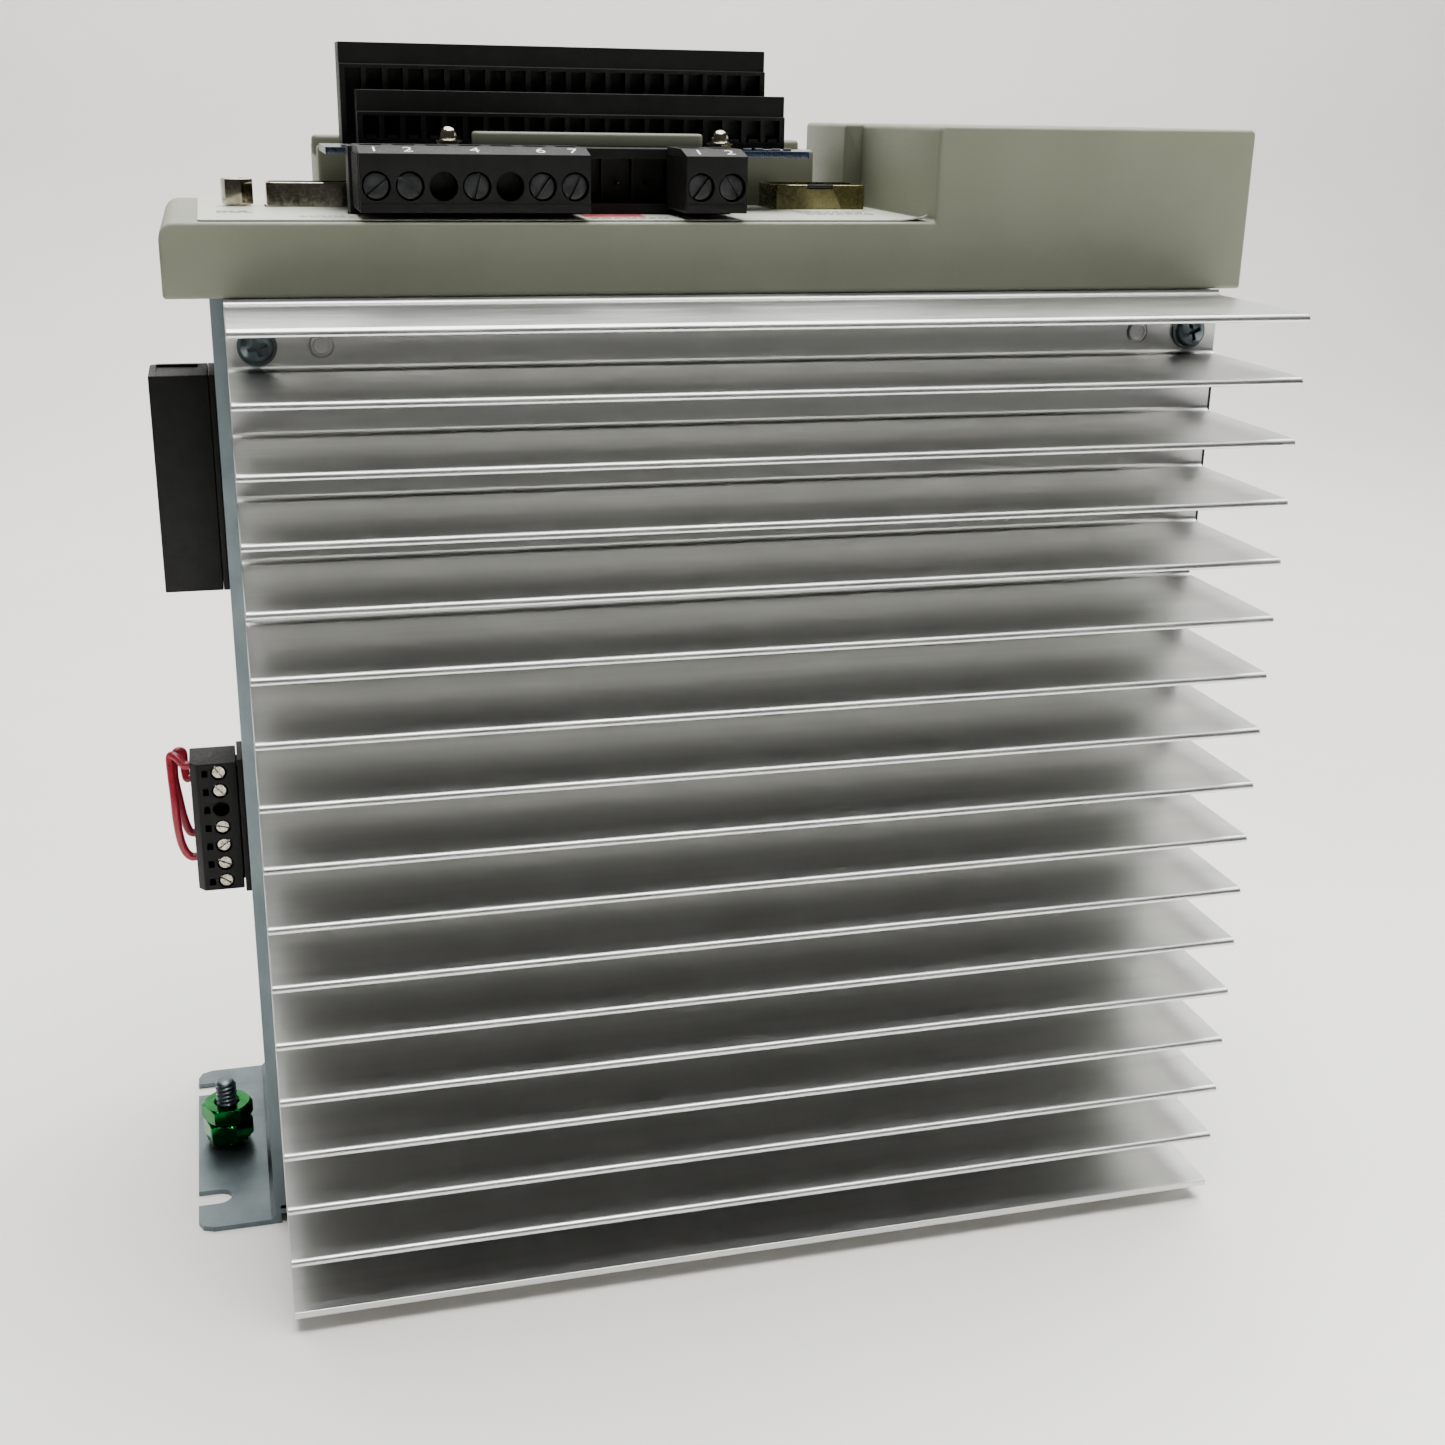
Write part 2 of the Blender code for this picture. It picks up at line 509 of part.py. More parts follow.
def make_option_card(finish):
    """The plug-in card: its board, the connector body that mates below, two captive screws and the terminal strips."""
    board = block((CARD_LEFT, CARD_NEAR, CARD_Z), (CARD_RIGHT, CARD_FAR, CARD_Z + CARD_THICK))
    board = finished("card_board", board, finish["board_blue"])
    top = CARD_Z + CARD_THICK + GAP
    bar = prism(rounded(-62.3, -4.2, 31.2, 35.4, 1.6), "Z", top, top + 3.6)
    finished("card_connector", bar, finish["putty"])
    for label, x in zip(("left", "right"), CARD_SCREW_X):
        spot = (x, CARD_SCREW_Y, top)
        # The screws are undone, as they must be before the card lifts: their tips stand just above the posts.
        profile = [(1.5, -6.4), (1.5, 0), (3.4, 0), (3.4, 2.1), (2.2, 2.1), (2.2, 3.6), (1.6, 4.5), (0.6, 4.9)]
        screw = finished(f"card_screw_{label}", turned(profile, 18), finish["nickel"], spot)
        bar = block((x - 3, CARD_SCREW_Y - 0.35, top + 4.2), (x + 3, CARD_SCREW_Y + 0.35, top + 6), spot)
        cut(screw, tool(f"card_screw_slot_{label}", bar, spot))
        hole = turned([(1.9, -6), (1.9, 1)], 12)
        cut(board, tool(f"card_hole_{label}", hole, spot))
    shell = finished("card_plug", block((-62.0, 34.4, 270.0), (-5.8, 41.8, CARD_Z - GAP)), finish["nickel"])
    cut(shell, tool("card_plug_pocket", block((-60.6, 35.6, 269), (-7.2, 40.6, 276.5))))
    make_strip("lower_terminal_strip", -89.5, 37.7, 44.7, 293.3, top, finish)
    make_strip("upper_terminal_strip", -92.7, 45.9, 56.6, 304.2, top, finish)


def blocks(corners):
    """Several separate boxes in one mesh, each given by its low and high bench corners."""
    merged = bmesh.new()
    for low, high in corners:
        piece = block(low, high)
        mesh = bpy.data.meshes.new("piece")
        piece.to_mesh(mesh)
        piece.free()
        merged.from_mesh(mesh)
        bpy.data.meshes.remove(mesh)
    return merged


def make_strip(name, left, near, far, height, bottom, finish):
    """A row of signal terminals: a plain upper band, and below it a prouder band with the wire entries."""
    ledge = height - STRIP_BAND
    outline = [
        (near - STRIP_STEP, bottom), (far, bottom), (far, height), (near, height), (near, ledge),
        (near - STRIP_STEP, ledge),
    ]
    strip = finished(name, prism(outline, "X", left, left + STRIP_LENGTH), finish["black"])
    wells = []
    for way in range(STRIP_WAYS):
        x = left + (STRIP_LENGTH - STRIP_WAYS * SIGNAL_PITCH) / 2 + (way + 0.5) * SIGNAL_PITCH
        low = (x - 1.9, near - STRIP_STEP - 1, bottom + 1.6)
        wells.append((low, (x + 1.9, near + 2.6, ledge - 0.9)))
    cut(strip, tool(f"{name}_wells", blocks(wells)))


def smooth_route(points, count):
    """Points along a Catmull-Rom curve through the given ones."""
    ends = [points[0] * 2 - points[1]] + points + [points[-1] * 2 - points[-2]]
    route = []
    for index in range(count):
        along = index / (count - 1) * (len(points) - 1)
        piece = min(int(along), len(points) - 2)
        t = along - piece
        a, b, c, d = ends[piece:piece + 4]
        route.append(((b * 2) + (c - a) * t + (a * 2 - b * 5 + c * 4 - d) * t**2 + (b * 3 - a - c * 3 + d) * t**3) / 2)
    return route


def make_wire(name, points, count, diameter, finish):
    """A round wire along a smooth route through bench points."""
    curve = bpy.data.curves.new(name, "CURVE")
    curve.dimensions = "3D"
    curve.bevel_depth = diameter / 2000
    curve.bevel_resolution = 2
    curve.use_fill_caps = True
    route = smooth_route([place(point) for point in points], count)
    spline = curve.splines.new("POLY")
    spline.points.add(len(route) - 1)
    for spot, point in zip(route, spline.points):
        point.co = (*spot, 1)
    curve.materials.append(finish)
    made = bpy.data.objects.new(name, curve)
    bpy.context.collection.objects.link(made)
    return made


def make_signal_terminals(finish):
    """The seven-way plug on the left wall, its header in the wall, its screws and the two red jumper wires."""
    bottom = SIDE_TOP_Z - SIDE_WAYS * SIGNAL_PITCH
    wall = -CHASSIS_HALF
    flange = block((wall - 1.5, SIDE_NEAR - 0.6, bottom - 0.8), (wall - GAP, SIDE_FAR + 0.8, SIDE_TOP_Z + 0.8))
    header = finished("signal_header", flange, finish["black"])
    sleeve = block((wall - 1.0, SIDE_NEAR + 0.8, bottom), (wall + 11, SIDE_FAR - 0.8, SIDE_TOP_Z))
    join(header, tool("signal_header_sleeve", sleeve))
    mouth = block((wall - 3, SIDE_NEAR + 2.0, bottom + 1.2), (wall + 9.5, SIDE_FAR - 2.0, SIDE_TOP_Z - 1.2))
    cut(header, tool("signal_header_mouth", mouth))
    body_right = wall - 1.5 - GAP
    outline = [
        (SIDE_PLUG_X, SIDE_NEAR), (body_right, SIDE_NEAR), (body_right, SIDE_FAR), (SIDE_PLUG_X - 1.6, SIDE_FAR),
        (SIDE_PLUG_X - 1.6, SIDE_NEAR + 2.2), (SIDE_PLUG_X - 0.6, SIDE_NEAR + 0.8),
    ]
    plug = finished("signal_plug", prism(outline, "Z", bottom, SIDE_TOP_Z), finish["black"])
    tongue = block((body_right - 1, SIDE_NEAR + 2.5, bottom + 1.7), (wall + 8.5, SIDE_FAR - 2.5, SIDE_TOP_Z - 1.7))
    join(plug, tool("signal_plug_tongue", tongue))
    turns = {0: 20, 1: 60, 3: -20, 4: 30, 5: -15, 6: 35}
    for way in range(SIDE_WAYS):
        z = SIDE_TOP_Z - (way + 0.5) * SIGNAL_PITCH
        bore = turned([(SIDE_SCREW_R + GAP, -5), (SIDE_SCREW_R + GAP, 2)], 16, "-Y")
        cut(plug, tool(f"signal_bore_{way + 1}", bore, (SIDE_SCREW_X, SIDE_NEAR, z)))
        if way in SIDE_SCREWS:
            spot = (SIDE_SCREW_X, SIDE_NEAR + 0.4, z)
            slot = (0.55, 0.6)
            slotted_screw(f"signal_screw_{way + 1}", SIDE_SCREW_R, 4.2, spot, "-Y", turns[way], finish["screw"], slot)
    start = SIDE_PLUG_X - 1.6 - GAP
    outer = [
        (start, 32.6, 125.2), (start - 1.2, 32.7, 125.3), (start - 3.1, 34.2, 127.0), (start - 4.6, 35.6, 126.8),
        (start - 4.6, 34.4, 122.6), (start - 4.3, 32.6, 116.5), (start - 4.1, 31.6, 110.5), (start - 3.5, 31.2, 104.8),
        (start - 2.4, 31.2, 101.3), (start - 1.1, 31.2, 99.9), (start, 31.2, 99.8),
    ]
    inner = [
        (start, 36.4, 120.2), (start - 0.9, 36.5, 120.4), (start - 1.3, 38.0, 123.4), (start - 1.5, 39.2, 126.6),
        (start - 3.4, 38.9, 126.3), (start - 4.0, 37.6, 121.0), (start - 3.2, 36.2, 114.6), (start - 2.4, 35.4, 109.6),
        (start - 1.3, 35.2, 105.8), (start, 35.2, 105.0),
    ]
    make_wire("jumper_wire_long", outer, 22, JUMPER_DIAMETER, finish["red"])
    make_wire("jumper_wire_short", inner, 16, JUMPER_DIAMETER, finish["red"])


def make_wall_connector(name, side, outer_x, near, far, bottom, top, finish):
    """A header set in a side wall, with a plain plug pushed into it."""
    wall = CHASSIS_HALF
    lip, reach = 1.2, 11.0

    def span(x0, x1, inset):
        low_x, high_x = sorted((side * x0, side * x1))
        return block((low_x, near + inset, bottom + inset), (high_x, far - inset, top - inset))

    header = finished(f"{name}_header", span(wall + GAP, wall + GAP + lip, 0.0), finish["black"])
    join(header, tool(f"{name}_header_sleeve", span(wall - reach, wall + 1.0, 1.3)))
    cut(header, tool(f"{name}_header_mouth", span(wall - reach + 1.4, wall + 4, 2.6)))
    plug = finished(f"{name}_plug", span(wall + 2 * GAP + lip, abs(outer_x), 0.0), finish["black"])
    join(plug, tool(f"{name}_plug_tongue", span(wall - reach + 2.0, wall + 3, 3.0)))
    return header, plug


def make_wall_connectors(finish):
    box = (RELAY_NEAR, RELAY_FAR, RELAY_BOTTOM, RELAY_TOP)
    _, plug = make_wall_connector("relay", -1, RELAY_X, *box, finish)
    recess = block((RELAY_X + 3.4, RELAY_NEAR + 10, RELAY_TOP - 0.6), (RELAY_X + 11, RELAY_NEAR + 19, RELAY_TOP + 1))
    cut(plug, tool("relay_plug_recess", recess))
    make_wall_connector("brake", 1, BRAKE_X, BRAKE_NEAR, BRAKE_FAR, BRAKE_BOTTOM, BRAKE_TOP, finish)


def make_ground_stud(finish):
    """A stud pressed into the left ear, with two green hexagonal nuts on it."""
    spot = (STUD_X, STUD_Y, 0)
    profile = [(2.3, 0.2), (2.3, SHEET + GAP), (4.2, SHEET + GAP), (4.2, SHEET + 0.7), (STUD_R, SHEET + 0.7)]
    profile += [(STUD_R, STUD_TOP - 1.0), (STUD_R - 0.9, STUD_TOP)]
    finished("ground_stud", turned(profile, 20), finish["zinc"], spot)
    for name, low, high, turn in (("ground_nut_lower", 2.6, 9.3, 0.30), ("ground_nut_upper", 9.7, 14.4, 0.52)):
        base = (STUD_X, STUD_Y, low)
        nut = finished(name, prism(polygon(6, NUT_FLATS, turn), "Z", 0, high - low), finish["green"], base)
        bore = turned([(STUD_R + GAP, -1), (STUD_R + GAP, high - low + 1)], 20)
        cut(nut, tool(f"{name}_bore", bore, base))


def make_boards(finish):
    """The two circuit boards, and the flat cable that joins them."""
    low, high = (-122, 12, CONTROL_Z), (122, 86, CONTROL_Z + BOARD_THICK)
    board = finished("control_board", block(low, high), finish["board_green"])
    for label, x in zip(("left", "right"), PORT_SCREW_X):
        hole = turned([(2.4, -3), (2.4, 12)], 12)
        cut(board, tool(f"board_hole_{label}", hole, (x, PORT_SCREW_Y, CONTROL_Z)))
    low, high = (-110, POWER_BOARD_Y, 12), (110, POWER_BOARD_Y + BOARD_THICK, 238)
    finished("power_board", block(low, high), finish["board_green"])
    near = POWER_BOARD_Y + BOARD_THICK + GAP
    strip = [
        (near, 205), (near + 0.9, 205), (near + 0.9, 226), (near + 8, 236), (near + 16, 240.5),
        (near + 20, CONTROL_Z - 5), (near + 20, CONTROL_Z - GAP), (near + 19.1, CONTROL_Z - GAP),
        (near + 19.1, CONTROL_Z - 4.6), (near + 15.4, 241.2), (near + 7.4, 236.9), (near, 226.4),
    ]
    finished("ribbon_cable", prism(strip, "X", 40, 78), finish["grey"])


def make_power_parts(finish):
    """What switches and stores the power: parts bolted to the heatsink and parts on the power board."""
    face = SINK_BASE + GAP
    back = POWER_BOARD_Y - GAP
    far = POWER_BOARD_Y + BOARD_THICK + GAP
    for name, low, high in (
        ("power_module", (-70, face, 60), (35, back, 118)),
        ("bridge_rectifier", (60, face, 70), (90, back, 100)),
        ("switching_transformer", (-92, far, 150), (-54, far + 34, 190)),
    ):
        colour = finish["grey"] if name == "power_module" else finish["black"]
        finished(name, block(low, high), colour)
    for number, x in ((1, -62), (2, -12)):
        profile = [(21.5, 0), (22.5, 1.5), (22.5, 53.5), (21.5, 55)]
        can = turned(profile, 24, "-Y")
        bmesh.ops.rotate(can, verts=can.verts, cent=(0, 0, 0), matrix=Matrix.Rotation(math.pi, 3, "X"))
        finished(f"bus_capacitor_{number}", can, finish["blue"], (x, far, 90))
    ring = turned([(22, 0), (22, 16)], 24, "-Y")
    choke = finished("filter_choke", ring, finish["copper"], (62, far + 16, 90))
    bore = turned([(9, -2), (9, 18)], 16, "-Y")
    cut(choke, tool("filter_choke_bore", bore, (62, far + 16, 90)))


def main():
    clear_scene()
    finish = make_finishes()
    make_chassis(finish)
    make_side_panel(finish)
    make_heatsink(finish)
    make_sink_fixings(finish)
    make_front_cover(finish)
    make_front_label(finish)
    make_power_terminals(finish)
    make_ports(finish)
    make_option_card(finish)
    make_signal_terminals(finish)
    make_wall_connectors(finish)
    make_ground_stud(finish)
    make_boards(finish)
    make_power_parts(finish)


main()
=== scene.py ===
# %% [markdown]
# # A servo drive, lying on its back
#
# The solid model gives every part its place and size. This lesson dresses it: it gives each part a surface
# that looks like its real material, and it replaces the parts whose edges need to be softer than the solids.
# All lengths below are in millimetres until the last moment, because that's how such parts are drawn.

import json
import math

import bpy
import numpy as np
from mathutils import Matrix, Vector

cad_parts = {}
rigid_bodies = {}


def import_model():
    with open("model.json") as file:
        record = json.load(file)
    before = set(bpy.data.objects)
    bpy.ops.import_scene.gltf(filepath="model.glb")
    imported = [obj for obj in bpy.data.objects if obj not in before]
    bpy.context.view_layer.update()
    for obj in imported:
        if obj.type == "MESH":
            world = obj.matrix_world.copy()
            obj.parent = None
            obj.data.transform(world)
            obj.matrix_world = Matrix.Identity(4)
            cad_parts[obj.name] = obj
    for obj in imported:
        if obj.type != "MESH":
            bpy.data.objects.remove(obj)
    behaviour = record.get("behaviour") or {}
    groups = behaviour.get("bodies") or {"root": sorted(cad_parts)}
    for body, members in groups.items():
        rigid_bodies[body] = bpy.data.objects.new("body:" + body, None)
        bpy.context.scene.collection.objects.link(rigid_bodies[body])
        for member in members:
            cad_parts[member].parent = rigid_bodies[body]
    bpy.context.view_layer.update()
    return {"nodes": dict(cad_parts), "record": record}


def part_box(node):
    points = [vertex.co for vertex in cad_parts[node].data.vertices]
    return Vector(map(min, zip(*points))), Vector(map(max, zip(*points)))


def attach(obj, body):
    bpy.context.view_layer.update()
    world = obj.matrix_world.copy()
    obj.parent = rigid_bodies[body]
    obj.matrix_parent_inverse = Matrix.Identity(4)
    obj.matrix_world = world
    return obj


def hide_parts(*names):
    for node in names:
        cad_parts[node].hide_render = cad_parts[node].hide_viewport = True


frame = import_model()

# %% [markdown]
# ## Camera
#
# The camera stands a little above the drive and to its left. Its direction is three turns: a yaw towards +X, a
# pitch down and a small roll. The rows of the combined matrix are the camera's right, down and forward.

# %% Camera
YAW, PITCH, ROLL = np.radians((15.483, 19.192, 1.106))
CAMERA_SPOT = (-0.12551, -0.45918, 0.29528)
LENS_MM, SENSOR_MM = 45.44, 36.0


def camera_axes(yaw, pitch, roll):
    """Forward is (sin yaw cos pitch, cos yaw cos pitch, -sin pitch); right is level; roll turns right and
    down about forward."""
    forward = np.array([math.sin(yaw) * math.cos(pitch), math.cos(yaw) * math.cos(pitch), -math.sin(pitch)])
    right = np.array([math.cos(yaw), -math.sin(yaw), 0.0])
    down = np.cross(forward, right)
    tilt = np.array([[math.cos(roll), -math.sin(roll)], [math.sin(roll), math.cos(roll)]])
    right, down = tilt @ np.array([right, down])
    return right, -down, -forward


camera_data = bpy.data.cameras.new("camera")
camera_data.lens = LENS_MM
camera_data.sensor_width = SENSOR_MM
camera = bpy.data.objects.new("camera", camera_data)
turn = Matrix([list(axis) for axis in camera_axes(YAW, PITCH, ROLL)]).transposed().to_4x4()
camera.matrix_world = Matrix.Translation(CAMERA_SPOT) @ turn
bpy.context.collection.objects.link(camera)
bpy.context.scene.camera = camera
print("camera stands at", CAMERA_SPOT)

# %% [markdown]
# ## Floor and light
#
# The drive stands in a pale sweep: a floor that curves up into a wall, so that no hard line crosses behind
# it. A large soft light overhead leaves the near faces in shade. A second one shines straight down on the floor
# in front, which sends its light back up between the fins, and a weak one fills in from the right.


# %% Floor, wall and lights
def sweep_mesh(width, near, far, height, bend, steps=16):
    """A floor, a quarter circle of the bend radius and a wall, as (y, z) points carried along X."""
    turns = np.linspace(0, math.pi / 2, steps)
    arc = np.column_stack((far - bend + bend * np.sin(turns), bend - bend * np.cos(turns)))
    side = np.vstack(([near, 0.0], arc, [far, height]))
    ends = np.array([-width / 2, width / 2])
    points = np.array([np.column_stack((np.full(len(side), x), side)) for x in ends]).reshape(-1, 3)
    first = np.arange(len(side) - 1)
    faces = np.column_stack((first, first + len(side), first + len(side) + 1, first + 1))
    return points, faces


def mesh_of(name, points, faces):
    """A mesh from an array of points and a list of faces."""
    mesh = bpy.data.meshes.new(name)
    mesh.from_pydata(points.tolist(), [], [list(face) for face in faces])
    mesh.validate()
    mesh.update()
    return mesh


points, faces = sweep_mesh(width=14.0, near=-7.0, far=1.15, height=3.0, bend=0.25)
floor = bpy.data.objects.new("floor", mesh_of("floor", points, faces))
floor.data.shade_smooth()
bpy.context.collection.objects.link(floor)

# Each light: name, where it stands, side in metres, watts, spread in degrees, and the point it faces.
LIGHTS = (
    ("overhead", (0.15, 0.30, 1.45), 1.5, 60.0, 180, (0.0, 0.0, 0.1)),
    ("floor_wash", (0.25, -0.90, 1.30), 1.2, 17.0, 60, (0.25, -0.90, 0.0)),
    ("right_wall", (1.7, 0.1, 0.5), 0.9, 3.5, 180, (0.0, 0.0, 0.1)),
)
ROOM_COLOUR, ROOM_STRENGTH = (1.0, 0.985, 0.96, 1), 0.09
for name, spot, size, power, spread, aim in LIGHTS:
    light = bpy.data.lights.new(name, "AREA")
    light.size = size
    light.spread = math.radians(spread)
    light.energy = power
    lamp = bpy.data.objects.new(name, light)
    lamp.location = spot
    way = np.array(aim) - np.array(spot)
    lamp.rotation_mode = "QUATERNION"
    lamp.rotation_quaternion = Vector(way.tolist()).to_track_quat("-Z", "Y")
    bpy.context.collection.objects.link(lamp)

world = bpy.data.worlds.new("room")
bpy.context.scene.world = world
world.use_nodes = True
world.node_tree.nodes["Background"].inputs["Color"].default_value = ROOM_COLOUR
world.node_tree.nodes["Background"].inputs["Strength"].default_value = ROOM_STRENGTH
print("floor faces:", len(faces), "lights:", len(LIGHTS))

# %% [markdown]
# ## Finishes
#
# Each material starts from what the real one is and how its surface was made. Colours are the hex values a
# painter would write down, turned to linear light by one function. Patterns read Object coordinates, so they
# are fixed to the metal, and their scales are worked out from real sizes.


# %% Node helpers
def linear(code, alpha=1.0):
    """sRGB hex to linear: c/12.92 below 0.04045, otherwise ((c + 0.055) / 1.055) to the power 2.4."""
    value = np.array([int(code[i : i + 2], 16) for i in (1, 3, 5)]) / 255
    value = np.where(value < 0.04045, value / 12.92, ((value + 0.055) / 1.055) ** 2.4)
    return (*value.tolist(), alpha)


def add(tree, kind, settings=None, **inputs):
    """Adds one shader node. An input is named with _ for a space, or atN for its number."""
    made = tree.nodes.new("ShaderNode" + kind)
    for name, value in (settings or {}).items():
        setattr(made, name, value)
    for name, value in inputs.items():
        socket = made.inputs[int(name[2:]) if name.startswith("at") else name.replace("_", " ")]
        if isinstance(value, bpy.types.NodeSocket):
            tree.links.new(value, socket)
        else:
            socket.default_value = value
    return made


def per_mm(size):
    """The texture scale whose pattern repeats about every size millimetres."""
    return 1000.0 / size


def finish(
    name, light, dark, patch_mm, rough, metallic=0.0, stretch=(1, 1, 1), grain_mm=0.4, grain_depth=0.02, **more
):
    """A surface whose colour drifts between two tones in patches, and whose roughness and relief follow a grain.

    Colour = mix(dark, light, noise at patch_mm); roughness = map(noise at grain_mm, 0..1 to rough); relief is
    grain_depth millimetres high. stretch draws both patterns out along an axis, as rolling and extruding do.
    """
    material = bpy.data.materials.new(name)
    material.use_nodes = True
    tree = material.node_tree
    shader = tree.nodes["Principled BSDF"]
    where = add(tree, "TexCoord").outputs["Object"]
    drawn = add(tree, "Mapping", Vector=where, Scale=stretch).outputs["Vector"]
    patch = add(tree, "TexNoise", Vector=drawn, Scale=per_mm(patch_mm), Detail=4.0, Roughness=0.6)
    grain = add(tree, "TexNoise", Vector=drawn, Scale=per_mm(grain_mm), Detail=3.0, Roughness=0.55)
    middle = {"From_Min": 0.3, "From_Max": 0.7}
    spread = add(tree, "MapRange", Value=patch.outputs["Fac"], **middle)
    tones = {"at6": linear(dark), "at7": linear(light)}
    colour = add(tree, "Mix", {"data_type": "RGBA"}, Factor=spread.outputs["Result"], **tones)
    tree.links.new(colour.outputs[2], shader.inputs["Base Color"])
    lift = add(tree, "MapRange", Value=grain.outputs["Fac"], To_Min=rough[0], To_Max=rough[1], **middle)
    tree.links.new(lift.outputs["Result"], shader.inputs["Roughness"])
    relief = add(tree, "Bump", Height=grain.outputs["Fac"], Strength=1.0, Distance=grain_depth / 1000)
    tree.links.new(relief.outputs["Normal"], shader.inputs["Normal"])
    shader.inputs["Metallic"].default_value = metallic
    for key, value in more.items():
        shader.inputs[key.replace("_", " ")].default_value = value
    return material


print("a pattern 4 mm wide has scale", per_mm(4.0))

# %% [markdown]
# ### Metals
#
# Extruded aluminium keeps fine lines along the way it left the die, so its pattern is drawn out along X. Zinc
# plate has a bluish passivation that drifts from patch to patch. The nuts are zinc with a green dip, smooth
# enough to glint, and the port's shell is bright nickel. Grains finer than half a millimetre are drawn that
# coarse, so that they show.

# %% Metals
ALUMINIUM = finish("extruded_aluminium", "#d8d8d6", "#cacbc9", 9.0, (0.28, 0.42), 1.0, (0.03, 1, 1), 0.5, 0.010)
ZINC = finish("blue_zinc_plate", "#6c7679", "#5a6569", 11.0, (0.28, 0.44), 1.0, (1, 1, 0.5), 0.6, 0.015)
NICKEL = finish("bright_nickel_plate", "#bdb7a6", "#7f7967", 3.0, (0.06, 0.20), 1.0, (1, 1, 1), 0.8, 0.010)
TIN = finish("yellowed_tin_plate", "#8b8560", "#7d7752", 14.0, (0.22, 0.32), 1.0, (1, 1, 1), 1.5, 0.004)
GREEN = finish("green_dipped_zinc", "#128038", "#075022", 4.0, (0.06, 0.18), 1.0, (1, 1, 1), 0.5, 0.010)
STEEL = finish("turned_steel_screw", "#b9b4a8", "#6e695f", 1.0, (0.16, 0.36), 1.0, (1, 1, 1), 0.3, 0.012)
BLACKENED = finish("blackened_steel_screw", "#3d3f3f", "#202222", 2.0, (0.30, 0.50), 0.8, (1, 1, 1), 0.3, 0.012)
GOLD = finish("gold_flashed_contact", "#e8c872", "#caa54c", 2.0, (0.18, 0.3), 1.0)
COPPER = finish("enamelled_copper", "#b5663a", "#8a4424", 1.2, (0.22, 0.35), 1.0, (1, 1, 6), 0.5, 0.06)
print("metals:", len(bpy.data.materials))

# %% [markdown]
# ### Plastics, film and boards
#
# Moulded covers have a spark-eroded grain a few tenths of a millimetre wide, drawn here a little coarse so that
# it shows. Terminal blocks are glass-filled nylon, nearly black and half matt. A board's colour is its solder
# mask, with the copper showing through it as paler lines.

# %% Plastics, film and boards
PUTTY = finish("moulded_putty_abs", "#7c7f6d", "#737664", 40.0, (0.40, 0.56), grain_mm=0.7, grain_depth=0.03)
BLACK = finish(
    "black_glass_filled_nylon", "#121311", "#0b0c0b", 5.0, (0.44, 0.64), grain_mm=0.5, Specular_IOR_Level=0.2
)
FILM = finish("printed_polyester_film", "#c3c5b8", "#b9bbae", 25.0, (0.30, 0.45), grain_mm=2.0, grain_depth=0.01)
PRINT_GREY = finish("grey_ink", "#5c5d57", "#474842", 1.0, (0.5, 0.6))
PRINT_RED = finish("red_ink", "#c03040", "#a82838", 1.0, (0.5, 0.6))
PRINT_WHITE = finish("white_ink", "#e9e9e4", "#d5d5cf", 1.0, (0.5, 0.6))
RED_WIRE = finish("red_pvc_insulation", "#a31c32", "#861428", 3.0, (0.25, 0.42), grain_mm=0.8, grain_depth=0.015)
GREY_CASE = finish("grey_epoxy_case", "#6e7072", "#5a5c5e", 8.0, (0.5, 0.65))
SLEEVE = finish("blue_shrink_sleeve", "#27406e", "#1c2f55", 10.0, (0.22, 0.36))
RIBBON = finish(
    "grey_ribbon_cable", "#8d8f90", "#6d6f70", 1.27, (0.4, 0.5), stretch=(1, 0.02, 0.02), grain_depth=0.1
)


def board(name, mask, trace):
    """Solder mask over copper: the traces are the thin cell borders of a Voronoi pattern about 3 mm across."""
    made = finish(name, mask, mask, 20.0, (0.22, 0.34), grain_mm=0.6, grain_depth=0.01)
    tree = made.node_tree
    where = add(tree, "TexCoord").outputs["Object"]
    edges = {"feature": "DISTANCE_TO_EDGE"}
    cells = add(tree, "TexVoronoi", edges, Vector=where, Scale=per_mm(3.0), Randomness=0.7)
    border = {"From_Min": 0.05, "From_Max": 0.08, "To_Min": 1.0, "To_Max": 0.0}
    line = add(tree, "MapRange", Value=cells.outputs["Distance"], **border)
    tones = {"at6": linear(mask), "at7": linear(trace)}
    mixed = add(tree, "Mix", {"data_type": "RGBA"}, Factor=line.outputs["Result"], **tones)
    tree.links.new(mixed.outputs[2], tree.nodes["Principled BSDF"].inputs["Base Color"])
    return made


BOARD_BLUE = board("blue_solder_mask", "#0b1a2e", "#122640")
BOARD_GREEN = board("green_solder_mask", "#1d5a35", "#31784b")
FLOOR = finish("matt_paper_sweep", "#f8f6f2", "#f4f2ed", 120.0, (0.75, 0.85), grain_mm=3.0, grain_depth=0.02)
floor.data.materials.append(FLOOR)
print("finishes:", len(bpy.data.materials))

# %% [markdown]
# ## Making a piece
#
# A new piece is an array of points and an array of faces. It is drawn in millimetres in the frame's own
# axes, scaled to metres once, and rides on the body of the node it belongs to. `stand_in` hides the plain
# solid that it stands for.

# %% Piece helpers
BODY_OF = {node: body for body, nodes in frame["record"]["behaviour"]["bodies"].items() for node in nodes}


def piece(name, surface, material, node, angle=35):
    """A surface of points in millimetres and faces, riding with a node. Edges sharper than angle stay hard."""
    points, faces = surface
    made = bpy.data.objects.new(name, mesh_of(name, np.asarray(points) / 1000, faces))
    made.data.materials.append(material)
    made.data.shade_smooth()
    made.data.set_sharp_from_angle(angle=math.radians(angle))
    bpy.context.collection.objects.link(made)
    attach(made, BODY_OF[node])
    return made


